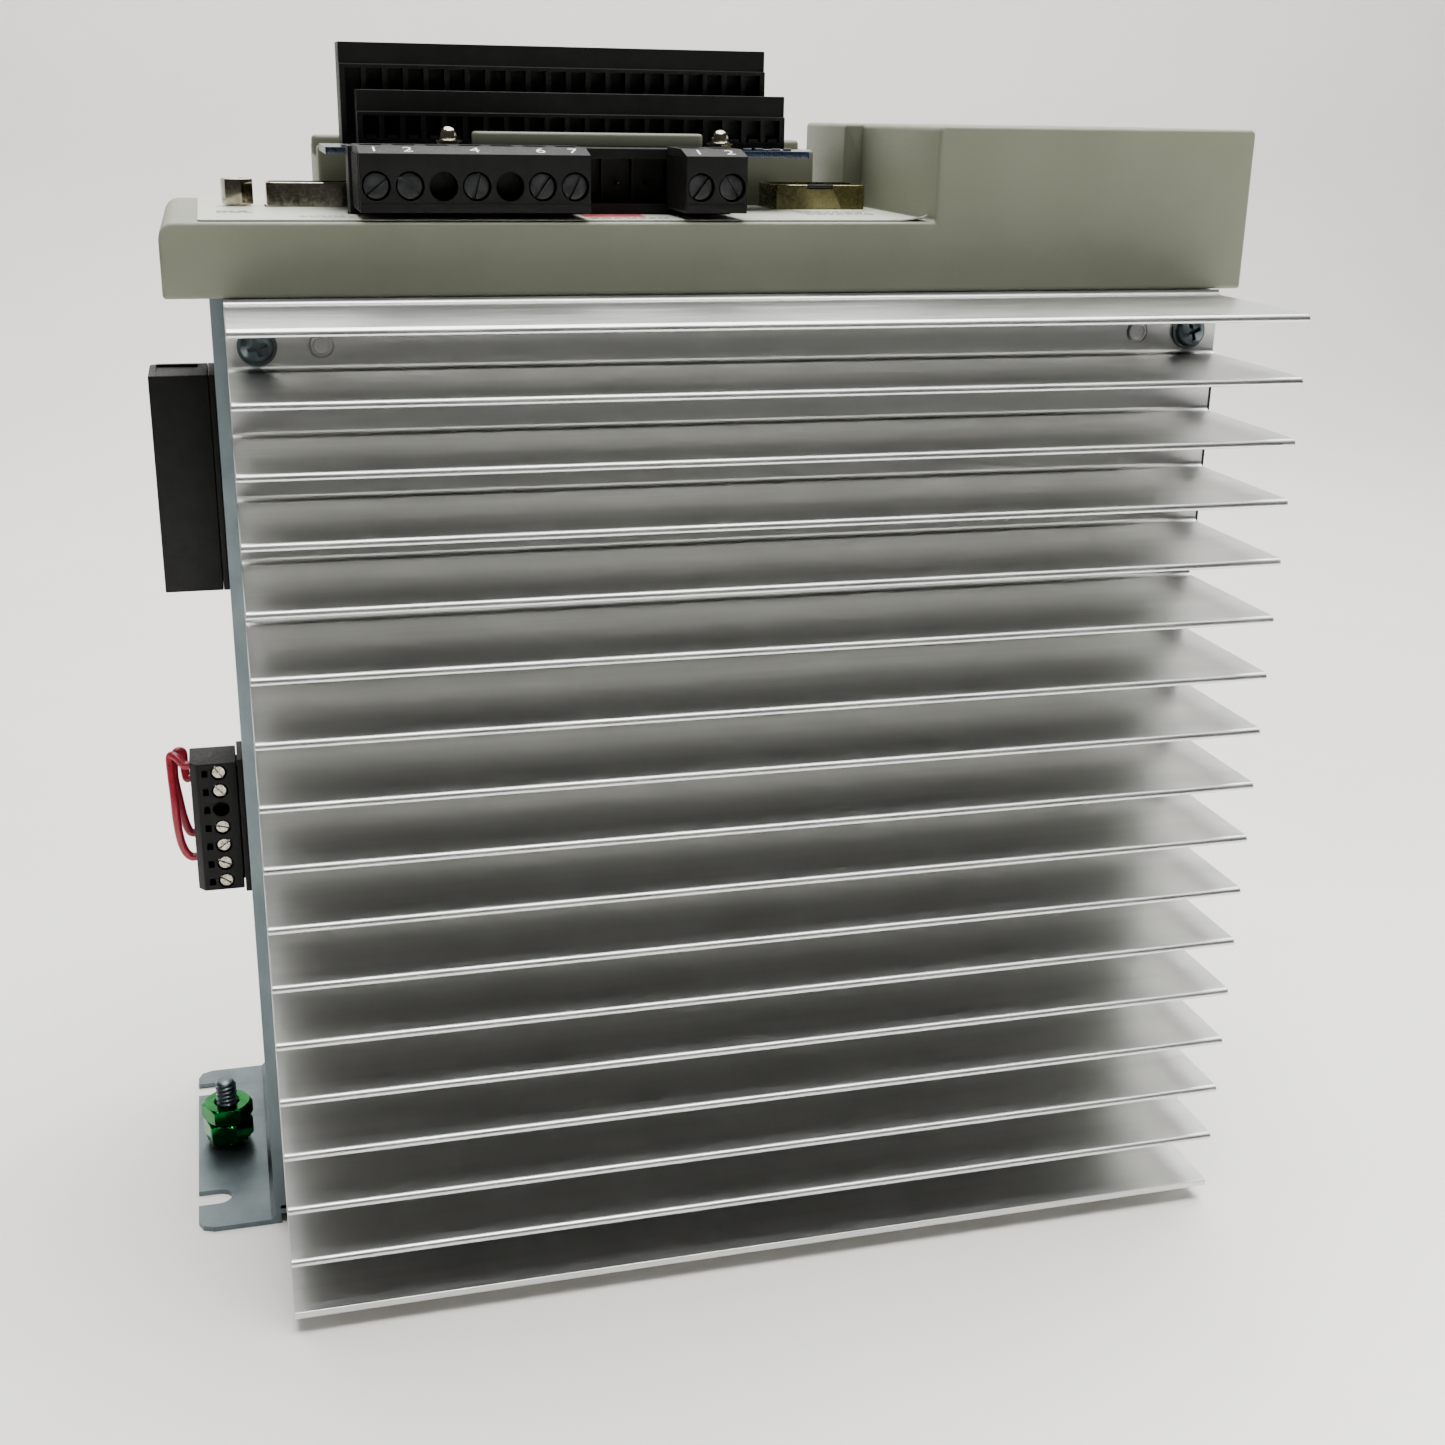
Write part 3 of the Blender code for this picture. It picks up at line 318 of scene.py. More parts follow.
def stand_in(name, surface, material, node, angle=35):
    """A piece that is seen instead of the node it rides with."""
    made = piece(name, surface, material, node, angle)
    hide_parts(node)
    return made


def merged(parts):
    """Several (points, faces) pairs as one, with each part's faces counted on from the points before it."""
    points, faces, start = [], [], 0
    for part_points, part_faces in parts:
        points.append(np.asarray(part_points, float))
        faces += [[start + corner for corner in face] for face in part_faces]
        start += len(part_points)
    return np.vstack(points), faces


def skin(rows, count):
    """Quads from each ring of count points to the next, and then the two end rings as faces."""
    ring = np.arange(count)
    after = (ring + 1) % count
    start = np.arange(rows - 1)[:, None] * count
    quads = np.stack((start + ring, start + after, start + count + after, start + count + ring), axis=2)
    return quads.reshape(-1, 4).tolist() + [ring[::-1].tolist(), (ring + (rows - 1) * count).tolist()]


def node_box(node):
    """A node's lowest and highest corners in millimetres."""
    low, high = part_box(node)
    return np.array(low) * 1000, np.array(high) * 1000


def middle(node):
    """A node's middle in millimetres."""
    low, high = node_box(node)
    return (low + high) / 2


print("root body:", BODY_OF["chassis"])

# %% [markdown]
# ## A prism with soft edges
#
# Most moulded and extruded parts are an outline pushed along an axis. Two roundings make it look made: each
# corner of the outline becomes an arc, and the two ends roll over, which is the same outline moved inwards a
# little at a time.


# %% Soft prism
def offset(outline, inset):
    """Each corner moves inwards along both of its sides' normals: the mitre of the two."""
    outline = np.asarray(outline, float)
    before, after = np.roll(outline, 1, 0), np.roll(outline, -1, 0)

    def normal(run):
        """Each side turned a quarter to the left, at length one."""
        run = run / np.linalg.norm(run, axis=1, keepdims=True)
        return np.column_stack((-run[:, 1], run[:, 0]))

    first, second = normal(outline - before), normal(after - outline)
    share = 1 + (first * second).sum(axis=1, keepdims=True)
    return outline + inset * (first + second) / share


def filleted(outline, radii, steps=4):
    """Every corner as an arc: points on a circle that touches both sides, from one tangent to the other."""
    outline = np.asarray(outline, float)
    radii = np.broadcast_to(np.asarray(radii, float), len(outline))
    into = outline - np.roll(outline, 1, 0)
    out = np.roll(outline, -1, 0) - outline
    into /= np.linalg.norm(into, axis=1, keepdims=True)
    out /= np.linalg.norm(out, axis=1, keepdims=True)
    cross = into[:, 0] * out[:, 1] - into[:, 1] * out[:, 0]
    bend = np.arctan2(cross, (into * out).sum(axis=1))
    reach = radii * np.abs(np.tan(bend / 2))
    start = outline - into * reach[:, None]
    side = np.sign(bend)[:, None] * np.column_stack((-into[:, 1], into[:, 0]))
    centre = start + side * radii[:, None]
    share = np.linspace(0, 1, steps + 1)
    turn = bend[:, None] * share[None]
    spoke = start - centre
    x = centre[:, None, 0] + spoke[:, None, 0] * np.cos(turn) - spoke[:, None, 1] * np.sin(turn)
    y = centre[:, None, 1] + spoke[:, None, 0] * np.sin(turn) + spoke[:, None, 1] * np.cos(turn)
    return np.stack((x, y), axis=2).reshape(-1, 2)


def area(outline):
    """Half the sum of x times the next y less y times the next x: positive when the outline turns left."""
    x, y = np.asarray(outline, float).T
    return 0.5 * (x * np.roll(y, -1) - y * np.roll(x, -1)).sum()


def soft_prism(outline, axis, low, high, corner=0.3, edge=0.3, steps=3):
    """The outline carried along an axis. Near each end the section is inset by edge (1 - cos t) while it travels
    edge sin t, which rolls the ends over. Each section is filleted after its inset, by that much less."""
    outline = np.asarray(outline, float)
    outline = outline if area(outline) > 0 else outline[::-1]
    corner = np.broadcast_to(np.asarray(corner, float), len(outline))
    turn = np.linspace(math.pi / 2, 0, steps + 1)
    insets = edge * (1 - np.cos(turn))
    ends_low = low + edge * (1 - np.sin(turn))
    ends_high = (high - edge * (1 - np.sin(turn)))[::-1]
    levels = np.concatenate((ends_low, ends_high))
    shifts = np.concatenate((insets, insets[::-1]))
    spot = {"X": (None, 0, 1), "Y": (0, None, 1), "Z": (0, 1, None)}[axis]
    rings = []
    for level, shift in zip(levels, shifts):
        ring = filleted(offset(outline, shift), np.maximum(corner - shift, 0.02))
        full = np.empty((len(ring), 3))
        for column, source in enumerate(spot):
            full[:, column] = level if source is None else ring[:, source]
        rings.append(full)
    faces = skin(len(rings), len(rings[0]))
    if axis == "Y":
        faces = [face[::-1] for face in faces]
    return np.vstack(rings), faces


def rectangle(a0, a1, b0, b1):
    """The four corners of a0..a1 by b0..b1, turning left."""
    return [(a0, b0), (a1, b0), (a1, b1), (a0, b1)]


def soft_box(low, high, corner=0.3, edge=0.3):
    """A box as a soft prism along Z."""
    return soft_prism(rectangle(low[0], high[0], low[1], high[1]), "Z", low[2], high[2], corner, edge)


print("a soft box has", len(soft_box((0, 0, 0), (10, 10, 10))[1]), "faces")

# %% [markdown]
# ## Heatsink
#
# The real one is sawn from an extruded bar: a base plate and seventeen fins in one section. Its fins end in
# a lip with rounded corners, which is what draws the bright double line along each of them.

# %% Heatsink
low, high = node_box("heatsink")
FIN_COUNT, FIN_PITCH, FIN_THICK = 17, 15.0, 1.85
BASE_THICK, TOP_REBATE = 6.0, 0.9
ROOT, BASE_BACK, TIP = high[1] - BASE_THICK, high[1], low[1]


def sink_outline():
    """The section as (y, z), going round clockwise: back, then fin by fin from the top."""
    outline, radii = [(BASE_BACK, low[2]), (BASE_BACK, high[2]), (ROOT, high[2])], [0.3, 0.3, 0.3]
    for fin in range(FIN_COUNT):
        top = high[2] - TOP_REBATE - fin * FIN_PITCH
        bottom = top - FIN_THICK
        outline += [(ROOT, top), (TIP, top), (TIP, bottom), (ROOT, bottom)]
        radii += [0.3 if fin == 0 else 1.3, 0.5, 0.5, 1.3]
    return outline[:-1] + [(ROOT, low[2])], radii[:-1] + [0.3]


outline, radii = sink_outline()
extrusion = soft_prism(outline[::-1], "X", low[0], high[0], radii[::-1], 0.12, 1)
heatsink = stand_in("heatsink_extrusion", extrusion, ALUMINIUM, "heatsink")
print("heatsink:", len(extrusion[1]), "faces,", FIN_COUNT, "fins")

# %% [markdown]
# ## Carving
#
# Holes and slots are cut as they are on a bench: a tool shape is taken away from a blank. A turned tool is a
# profile of (radius, height) pairs carried round a circle.


# %% Turning and carving
AIMS = {"Z": np.eye(3), "-Y": np.array([[1, 0, 0], [0, 0, -1], [0, 1, 0]])}


def turned(profile, centre=(0, 0, 0), aim="Z", steps=48):
    """(r cos t, r sin t, h) for each pair of the profile and each t round the circle, then tipped so that h
    runs along aim. The two end rings close as flat faces."""
    radius, height = np.asarray(profile, float).T
    t = np.linspace(0, 2 * math.pi, steps, endpoint=False)
    x, y = radius[:, None] * np.cos(t), radius[:, None] * np.sin(t)
    points = np.stack((x, y, np.broadcast_to(height[:, None], x.shape)), axis=2).reshape(-1, 3)
    return points @ AIMS[aim].T + np.asarray(centre, float), skin(len(radius), steps)


def carve(made, cutters, angle=35):
    """Takes closed shapes away from a piece, and keeps only the result."""
    for points, faces in cutters:
        tool = bpy.data.objects.new("tool", mesh_of("tool", np.asarray(points) / 1000, faces))
        bpy.context.collection.objects.link(tool)
        modifier = made.modifiers.new("carve", "BOOLEAN")
        modifier.operation, modifier.solver, modifier.object = "DIFFERENCE", "EXACT", tool
    bpy.context.view_layer.update()
    graph = bpy.context.evaluated_depsgraph_get()
    mesh = bpy.data.meshes.new_from_object(made.evaluated_get(graph))
    tools = [modifier.object for modifier in made.modifiers]
    made.modifiers.clear()
    made.data = mesh
    print(made.name, "carved to", len(mesh.polygons), "faces")
    for tool in tools:
        bpy.data.objects.remove(tool, do_unlink=True)
    mesh.shade_smooth()
    mesh.set_sharp_from_angle(angle=math.radians(angle))
    return made


def box(low, high):
    """The eight corners of low..high, for tools and small repeated shapes."""
    x, y, z = np.meshgrid(*zip(low, high), indexing="ij")
    points = np.column_stack((x.ravel(), y.ravel(), z.ravel()))
    faces = [[0, 1, 3, 2], [4, 6, 7, 5], [0, 4, 5, 1], [2, 3, 7, 6], [0, 2, 6, 4], [1, 5, 7, 3]]
    return points, faces


print("a hole cutter has", len(turned([(1, 0), (1, 1)])[1]), "faces")

# %% [markdown]
# ## Front cover
#
# The real cover is one moulding in a putty-coloured plastic. Its near face runs straight up into the raised
# block, so the low tray and the block are one section carried from near to far. A step in the block's left
# side, the card's deck and its rib stand on that.

# %% Front cover
low, high = node_box("front_cover")
COVER_NEAR, COVER_FAR = ROOT, ROOT + 92.0
TRAY_TOP, TOWER_TOP, TOWER_FALL = 264.9, 287.5, 1.2
TOWER_LEFT, STEP_LEFT, STEP_NEAR = 47.0, 42.0, ROOT + 57.0
DECK = ((-98.0, ROOT + 60.0, 258.0), (34.4, COVER_FAR - 0.02, 279.6))
RIB = ((-99.0, ROOT + 66.0), (32.0, ROOT + 70.0), 282.0)
WINDOW_GAP = 0.5


def sloped(points):
    """The block's top falls towards its far side: z loses TOWER_FALL times the share of the way there."""
    share = (points[:, 1] - COVER_NEAR) / (COVER_FAR - COVER_NEAR)
    return points - np.outer(np.where(points[:, 2] > DECK[1][2] + 3, TOWER_FALL * share, 0.0), (0, 0, 1))


def cover_parts():
    """The tray with its block, and then what stands on them: the block's step, the deck and the rib."""
    section = [
        (low[0], low[2]), (high[0], low[2]), (high[0], TOWER_TOP), (TOWER_LEFT, TOWER_TOP),
        (TOWER_LEFT, TRAY_TOP), (low[0], TRAY_TOP),
    ]
    main, main_faces = soft_prism(section, "Y", COVER_NEAR, COVER_FAR, (0.8, 0.8, 1.4, 1.4, 0.9, 3.8), 1.0, 4)
    step_section = rectangle(STEP_LEFT, TOWER_LEFT + 8, TRAY_TOP - 5, TOWER_TOP - 0.02)
    step, step_faces = soft_prism(step_section, "Y", STEP_NEAR, COVER_FAR - 0.02, 1.2, 1.0, 4)
    deck, deck_faces = soft_box(*DECK, 1.2, 0.9)
    (x0, y0), (x1, y1), top = RIB
    rib, rib_faces = soft_prism(rectangle(x0, x1, y0, y1), "Z", DECK[1][2] - 3, top, 1.6, 1.1, 4)
    return (sloped(main), main_faces), ((sloped(step), step_faces), (deck, deck_faces), (rib, rib_faces))


def window_tools(bottom, top):
    """Where the connectors pass through, wider than each of them by WINDOW_GAP all round."""
    tools = []
    for node in ("power_header", "card_socket", "port_shell", "jack_shell"):
        start, end = node_box(node)
        tools.append(box((*(start[:2] - WINDOW_GAP), bottom), (*(end[:2] + WINDOW_GAP), top)))
    return tools


tray, stands = cover_parts()
cover = stand_in("cover_tray", tray, PUTTY, "front_cover", 50)
carve(cover, window_tools(low[2] - 1, TRAY_TOP + 1), 50)
piece("cover_deck_and_rib", merged(stands), PUTTY, "front_cover", 50)
print("cover:", np.round(high - low, 1), "mm")

# %% [markdown]
# ## The printed film
#
# A polyester film is stuck on the low part of the cover. Its near right corner has lifted, as corners of old
# labels do, so that corner is a small grid whose height grows with the square of the way into the corner.
# The printing is left as plain bars, because what it said belongs to its maker.

# %% Film and print
low, high = node_box("front_label")
FILM_TOP = high[2]
CURL = 10.5
INK_LOW, INK_HIGH = FILM_TOP + 0.02, FILM_TOP + 0.05


def curl_corner(steps=18, rise=1.3):
    """u and v run from 0 to 1 into the corner; height = rise max(0, (u + v - 1.1) / 0.9)^2, in two skins."""
    u, v = np.meshgrid(np.linspace(0, 1, steps), np.linspace(0, 1, steps), indexing="ij")
    lift = rise * np.maximum(0, (u + v - 1.1) / 0.9) ** 2
    x = high[0] - CURL + CURL * u - 0.5 * lift
    y = low[1] + CURL - CURL * v + 0.3 * lift
    top = np.stack((x, y, FILM_TOP + lift), axis=2).reshape(-1, 3)
    bottom = top - (0, 0, FILM_TOP - low[2])
    index = np.arange(steps * steps).reshape(steps, steps)
    quads = np.stack((index[:-1, :-1], index[:-1, 1:], index[1:, 1:], index[1:, :-1]), axis=2).reshape(-1, 4)
    edge = np.concatenate((index[:, 0], index[-1, 1:], index[-2::-1, -1], index[0, -2:0:-1]))
    after = np.roll(edge, -1)
    count = steps * steps
    sides = np.column_stack((edge, after, after + count, edge + count))
    return np.vstack((top, bottom)), np.vstack((quads[:, ::-1], quads + count, sides[:, ::-1])).tolist()


def film_outline():
    """Round the film from its near left corner. The near part stops at the block, the far part at the deck."""
    step_x, step_y = DECK[0][0] - 1.8, ROOT + 56.6
    near = [(low[0], low[1]), (high[0], low[1]), (high[0], step_y)]
    return near + [(step_x, step_y), (step_x, high[1]), (low[0], high[1])]


sheet = soft_prism(film_outline(), "Z", low[2], FILM_TOP, 1.0, 0.05, 1)
film = stand_in("film", sheet, FILM, "front_label")
corner = box((high[0] - CURL, low[1] - 1, low[2] - 1), (high[0] + 1, low[1] + CURL, FILM_TOP + 1))
carve(film, window_tools(low[2] - 2, FILM_TOP + 2) + [corner])
piece("film_corner", curl_corner(), FILM, "front_label")


def bars(x, y, width, rows, pitch, seed, height=0.9):
    """Rows of short bars of uneven length, like words too small to read."""
    random = np.random.default_rng(seed)
    made = []
    for row in range(rows):
        lengths = random.uniform(0.9, 2.6, 12)
        starts = np.concatenate(([0], np.cumsum(lengths + 0.7)))[:-1]
        for start, length in zip(starts, lengths):
            if start + length < width:
                spot = (x + start, y - row * pitch, INK_LOW)
                made.append(box(spot, (spot[0] + length, spot[1] + height, INK_HIGH)))
    return made


grey = bars(-105.5, ROOT + 13.0, 12.5, 2, 3.4, 3) + bars(-38.0, ROOT + 8.0, 20.0, 2, 2.4, 5)
grey += bars(20.0, ROOT + 31.0, 20.0, 5, 3.0, 7) + bars(-124.0, ROOT + 30.0, 9.0, 3, 2.6, 9)
piece("film_print_grey", merged(grey), PRINT_GREY, "front_label")
red_mark = box((-38.5, ROOT + 11.5, INK_LOW), (-23.5, ROOT + 18.5, INK_HIGH))
piece("film_print_red", red_mark, PRINT_RED, "front_label")
print("printed bars:", len(grey) + 1)

# %% [markdown]
# ## Power plugs
#
# Each plug is a moulded block with a bore for every clamping screw, a sloping brow that carries the way
# numbers and a small ledge along its foot. Ribs on its left end give the fingers a grip.

# %% Power plugs
POWER_PITCH = 7.62
SCREW_Z = 272.8
NUMBER_SIZE = 5.0
BROW_DEPTH, BROW_FALL = 6.0, 1.5


def plug_section(low, high):
    """The plug from its side, as (y, z): a flat foot, a near face, a brow that rises to a flat top."""
    near, back, top = low[1], ROOT + 20.0, high[2]
    return [(near, low[2]), (back, low[2]), (back, top), (ROOT + BROW_DEPTH, top), (near, top - BROW_FALL)]


def power_plug(node, ways):
    """The block with its bores and wire entries, and then its foot, ribs and tongue. Gives each way's x."""
    low, high = node_box(node)
    centres = low[0] - 0.1 + (np.arange(ways) + 0.5) * POWER_PITCH
    blank = soft_prism(plug_section(low, high), "X", low[0], high[0], 0.25, 0.2)
    made = stand_in(f"{node}_block", blank, BLACK, node)
    bores = [turned([(3.3, -7), (3.3, 3)], (x, ROOT, SCREW_Z), "-Y") for x in centres]
    entries = [box((x - 2.6, ROOT + 8.5, 277), (x + 2.6, ROOT + 15.5, high[2] + 1)) for x in centres]
    carve(made, bores + entries)
    foot = [box((low[0] + 0.1, ROOT - 0.3, 268.3), (high[0] - 0.1, ROOT + 0.2, 268.9))]
    ribs = [
        box((low[0] - 0.22, ROOT + y, 267.4), (low[0] + 0.1, ROOT + y + 0.45, high[2] - 1.8))
        for y in np.arange(1.2, 19.0, 1.1)
    ]
    tongue = soft_box((low[0] + 0.7, ROOT + 19.5, 268.4), (high[0] - 0.7, high[1], 277.8))
    piece(f"{node}_ribs", merged(foot + ribs + [tongue]), BLACK, node)
    return centres


MOTOR_WAYS = power_plug("motor_plug", 7)
BUS_WAYS = power_plug("bus_plug", 2)


def number_mesh(text, size):
    """A flat number from the built-in font, as points and faces in millimetres round its own middle."""
    curve = bpy.data.curves.new(text, "FONT")
    curve.body, curve.size, curve.align_x, curve.align_y = text, size, "CENTER", "CENTER"
    curve.resolution_u = 3
    carrier = bpy.data.objects.new(text, curve)
    bpy.context.collection.objects.link(carrier)
    bpy.context.view_layer.update()
    mesh = bpy.data.meshes.new_from_object(carrier.evaluated_get(bpy.context.evaluated_depsgraph_get()))
    points = np.empty(len(mesh.vertices) * 3)
    mesh.vertices.foreach_get("co", points)
    faces = [list(polygon.vertices) for polygon in mesh.polygons]
    bpy.data.objects.remove(carrier, do_unlink=True)
    return points.reshape(-1, 3), faces


def brow_numbers(node, centres, texts):
    """The numbers lie in the brow's plane: local x stays X, and local y climbs the slope."""
    high = node_box(node)[1]
    slope = np.array([0, BROW_DEPTH, BROW_FALL]) / math.hypot(BROW_DEPTH, BROW_FALL)
    facing = np.cross((1, 0, 0), slope)
    brow = np.array([0, ROOT + BROW_DEPTH / 2, high[2] - BROW_FALL / 2]) + facing * 0.03
    parts = []
    for x, text in zip(centres, texts):
        points, faces = number_mesh(text, NUMBER_SIZE)
        laid = np.outer(points[:, 0], (1, 0, 0)) + np.outer(points[:, 1], slope) + brow + (x, 0, 0)
        parts.append((laid, faces))
    piece(f"{node}_numbers", merged(parts), PRINT_WHITE, node)


brow_numbers("motor_plug", MOTOR_WAYS[[0, 1, 3, 5, 6]], "12467")
brow_numbers("bus_plug", BUS_WAYS, "12")

# %% [markdown]
# ## Power header
#
# The header is an open box that faces the plugs. Three of its ways are free, so their pins show.

# %% Power header
low, high = node_box("power_header")
header = stand_in("power_header_shroud", soft_box(low, high), BLACK, "power_header")
carve(header, [box((low[0] + 1.2, low[1] - 1, 267.8), (high[0] - 1.2, high[1] - 1.4, 278.4))])


def pin(x, y0, y1, z, half=0.5, tip=1.0):
    """A square pin along Y that tapers to its near tip."""
    ring = np.array([(-1, -1), (1, -1), (1, 1), (-1, 1)])
    levels = np.array([(y0, 0.35), (y0 + tip, 1.0), (y1, 1.0)])
    spots = [
        np.column_stack((x + half * k * ring[:, 0], np.full(4, y), z + half * k * ring[:, 1])) for y, k in levels
    ]
    sides = ((4, 5, 1, 0), (5, 6, 2, 1), (6, 7, 3, 2), (7, 4, 0, 3))
    quads = [[corner + row * 4 for corner in side] for row in range(2) for side in sides]
    return np.vstack(spots), quads + [[0, 1, 2, 3], [11, 10, 9, 8]]


free = MOTOR_WAYS[-1] + POWER_PITCH * np.arange(1, 4)
pins = [pin(x, low[1] + 3.6, high[1] - 1.2, 272.6) for x in free]
piece("power_header_pins", merged(pins), NICKEL, "power_header")
between = free[:-1] + POWER_PITCH / 2
walls = [box((x - 0.35, low[1] + 4.2, 267.9), (x + 0.35, high[1] - 1.3, 278.3)) for x in between]
piece("power_header_walls", merged(walls), BLACK, "power_header")

# %% [markdown]
# ## Screws
#
# A clamping screw is turned from bar and slotted with a saw, and each stands at whatever angle it was last
# left. The heatsink's screws are pressed instead: a domed pan head with a cross. Beside each of them the flat
# face of a pressed stud shows in a shallow ring cut into the heatsink's base.


# %% Screws
def spun(points, centre, aim, degrees):
    """Points turned by an angle about the line through centre along aim."""
    angle = math.radians(degrees)
    flat = np.array([[math.cos(angle), -math.sin(angle), 0], [math.sin(angle), math.cos(angle), 0], [0, 0, 1]])
    turn = AIMS[aim] @ flat @ AIMS[aim].T
    return (points - centre) @ turn.T + centre


def aimed_box(half, centre, aim, degrees):
    """A box of half sizes about a point, its third axis along aim."""
    points, faces = box([-value for value in half], half)
    return spun(points @ AIMS[aim].T + centre, np.asarray(centre, float), aim, degrees), faces


def slotted(node, radius, degrees, material, slot=0.8, depth=0.9, length=5.0):
    """A cheese head: a flat face with a rounded rim of 0.3 mm, then a neck, with one sawn slot."""
    centre = middle(node)
    centre[1] = node_box(node)[0][1]
    t = np.linspace(0, math.pi / 2, 5)
    rim = np.column_stack((radius - 0.3 + 0.3 * np.cos(t), -0.3 + 0.3 * np.sin(t)))
    dish = [(radius * 0.6, 0.0), (radius * 0.2, -0.06)]
    profile = [(radius * 0.5, -length), (radius * 0.5, -1.8), (radius, -1.8), *rim.tolist(), *dish]
    made = stand_in(f"{node}_turned", turned(profile, centre, "-Y"), material, node, 30)
    carve(made, [aimed_box((radius * 1.2, slot / 2, depth), centre, "-Y", degrees)], 30)


for way, degrees in ((1, 40), (2, -34), (4, 75), (6, 55), (7, 62)):
    slotted(f"motor_screw_{way}", 3.0, degrees, BLACKENED)
for way, degrees in ((1, 52), (2, -55)):
    slotted(f"bus_screw_{way}", 3.0, degrees, BLACKENED)
for way, degrees in ((1, -57), (2, -50), (4, -15), (5, 35), (6, -25), (7, -35)):
    slotted(f"signal_screw_{way}", 1.8, degrees, STEEL, 0.5, 0.6, 4.0)
hollows = []
for label in ("left", "right"):
    node = f"heatsink_screw_{label}"
    centre = middle(node)
    centre[1] = ROOT
    t = np.linspace(0, math.pi / 2, 10)
    dome = np.column_stack((3.8 * np.cos(t) ** 0.6, 1.1 + 1.7 * np.sin(t)))[:-1]
    profile = [(2.0, -9.0), (2.0, 0.35), (4.5, 0.35), (4.5, 1.0), (3.8, 1.0), *dome.tolist()]
    head = stand_in(f"{node}_pressed", turned(profile, centre, "-Y"), ZINC, node, 30)
    arms = [aimed_box((2.3, 0.5, 2.0), centre - (0, 2.9, 0), "-Y", angle) for angle in (20, 110)]
    carve(head, arms, 30)
    node = f"pressed_stud_{label}"
    centre = middle(node)
    centre[1] = ROOT
    ring = [(2.5, -1.3), (2.5, 0.35), (2.3, 0.6), (1.9, 0.62), (1.7, 0.35), (1.4, 0.3)]
    stand_in(f"{node}_face", turned(ring, centre, "-Y"), ALUMINIUM, node, 30)
    hollows.append(turned([(2.95, -1.3), (2.95, 1)], centre, "-Y"))
carve(heatsink, hollows)
print("screws turned")

# %% [markdown]
# ## Signal plug
#
# The small plug on the left wall has its screws on one face and its wire entries on the next. It is a prism
# drilled and pierced way by way. Its header is a frame, with a mouth for the plug's tongue.

# %% Signal plug
SIGNAL_PITCH = 5.08
low, high = node_box("signal_plug")
PLUG_LEFT, PLUG_TOP = low[0], high[2]
PLUG_NEAR, PLUG_FAR = low[1], high[1]
FACE = -129.0
WALL_FACE = 127.05
way_z = PLUG_TOP - (np.arange(7) + 0.5) * SIGNAL_PITCH
plan = [
    (PLUG_LEFT + 1.6, PLUG_NEAR), (FACE + 0.2, PLUG_NEAR), (FACE + 0.2, PLUG_FAR), (PLUG_LEFT, PLUG_FAR),
    (PLUG_LEFT, PLUG_NEAR + 2.2), (PLUG_LEFT + 1.0, PLUG_NEAR + 0.8),
]
plug = stand_in("signal_plug_block", soft_prism(plan, "Z", low[2], high[2], 0.25, 0.25), BLACK, "signal_plug")
bores = [turned([(2.1, -5), (2.1, 3)], (-133.3, PLUG_NEAR, z), "-Y", 32) for z in way_z]
probes = [box((-137.6, PLUG_NEAR - 1, z - 1.1), (-136.1, PLUG_NEAR + 3, z + 0.9)) for z in way_z]
entries = [
    box((PLUG_LEFT - 1, PLUG_NEAR + 5.4, z - 1.75), (PLUG_LEFT + 5, PLUG_NEAR + 12.6, z + 1.75)) for z in way_z
]
carve(plug, bores + probes + entries)
tongue = soft_box((FACE, PLUG_NEAR + 2.5, low[2] + 1.7), (high[0], PLUG_FAR - 2.5, high[2] - 1.7))
piece("signal_plug_tongue", tongue, BLACK, "signal_plug")
low, high = node_box("signal_header")
flange = soft_box(low, (-WALL_FACE, high[1], high[2]), 0.3, 0.2)
made = stand_in("signal_header_frame", flange, BLACK, "signal_header")
carve(made, [box((-131, PLUG_NEAR + 2.0, way_z[-1] - 1.3), (-126, PLUG_FAR - 2.0, way_z[0] + 1.3))])

# %% [markdown]
# ## Jumper wires
#
# Two jumpers bridge pairs of the plug's ways. A wire bends smoothly and keeps its round section, so a jumper is
# a circle carried along a smooth curve that starts and ends inside an entry.


# %% Jumper wires
def smooth_route(points, count):
    """A Catmull-Rom curve: from b to c, the place is a cubic in t whose slopes are half of c - a and d - b."""
    points = np.asarray(points, float)
    ends = np.vstack((2 * points[0] - points[1], points, 2 * points[-1] - points[-2]))
    along = np.linspace(0, len(points) - 1, count)
    index = np.minimum(along.astype(int), len(points) - 2)
    t = (along - index)[:, None]
    a, b, c, d = (ends[index + step] for step in range(4))
    return 0.5 * (2 * b + (c - a) * t + (2 * a - 5 * b + 4 * c - d) * t**2 + (3 * b - a - 3 * c + d) * t**3)


def tube(points, radius, count=90, sides=20):
    """A circle carried along the route. At each point its two spokes are square to the tangent: the first is
    the tangent crossed with a fixed guide, the second the tangent crossed with the first."""
    route = smooth_route(points, count)
    along = np.gradient(route, axis=0)
    along /= np.linalg.norm(along, axis=1, keepdims=True)
    guide = np.array([0.05, 0.995, 0.08])
    first = np.cross(along, guide)
    first /= np.linalg.norm(first, axis=1, keepdims=True)
    second = np.cross(along, first)
    t = np.linspace(0, 2 * math.pi, sides, endpoint=False)
    ring = np.cos(t)[None, :, None] * first[:, None] + np.sin(t)[None, :, None] * second[:, None]
    return (route[:, None] + radius * ring).reshape(-1, 3), skin(count, sides)


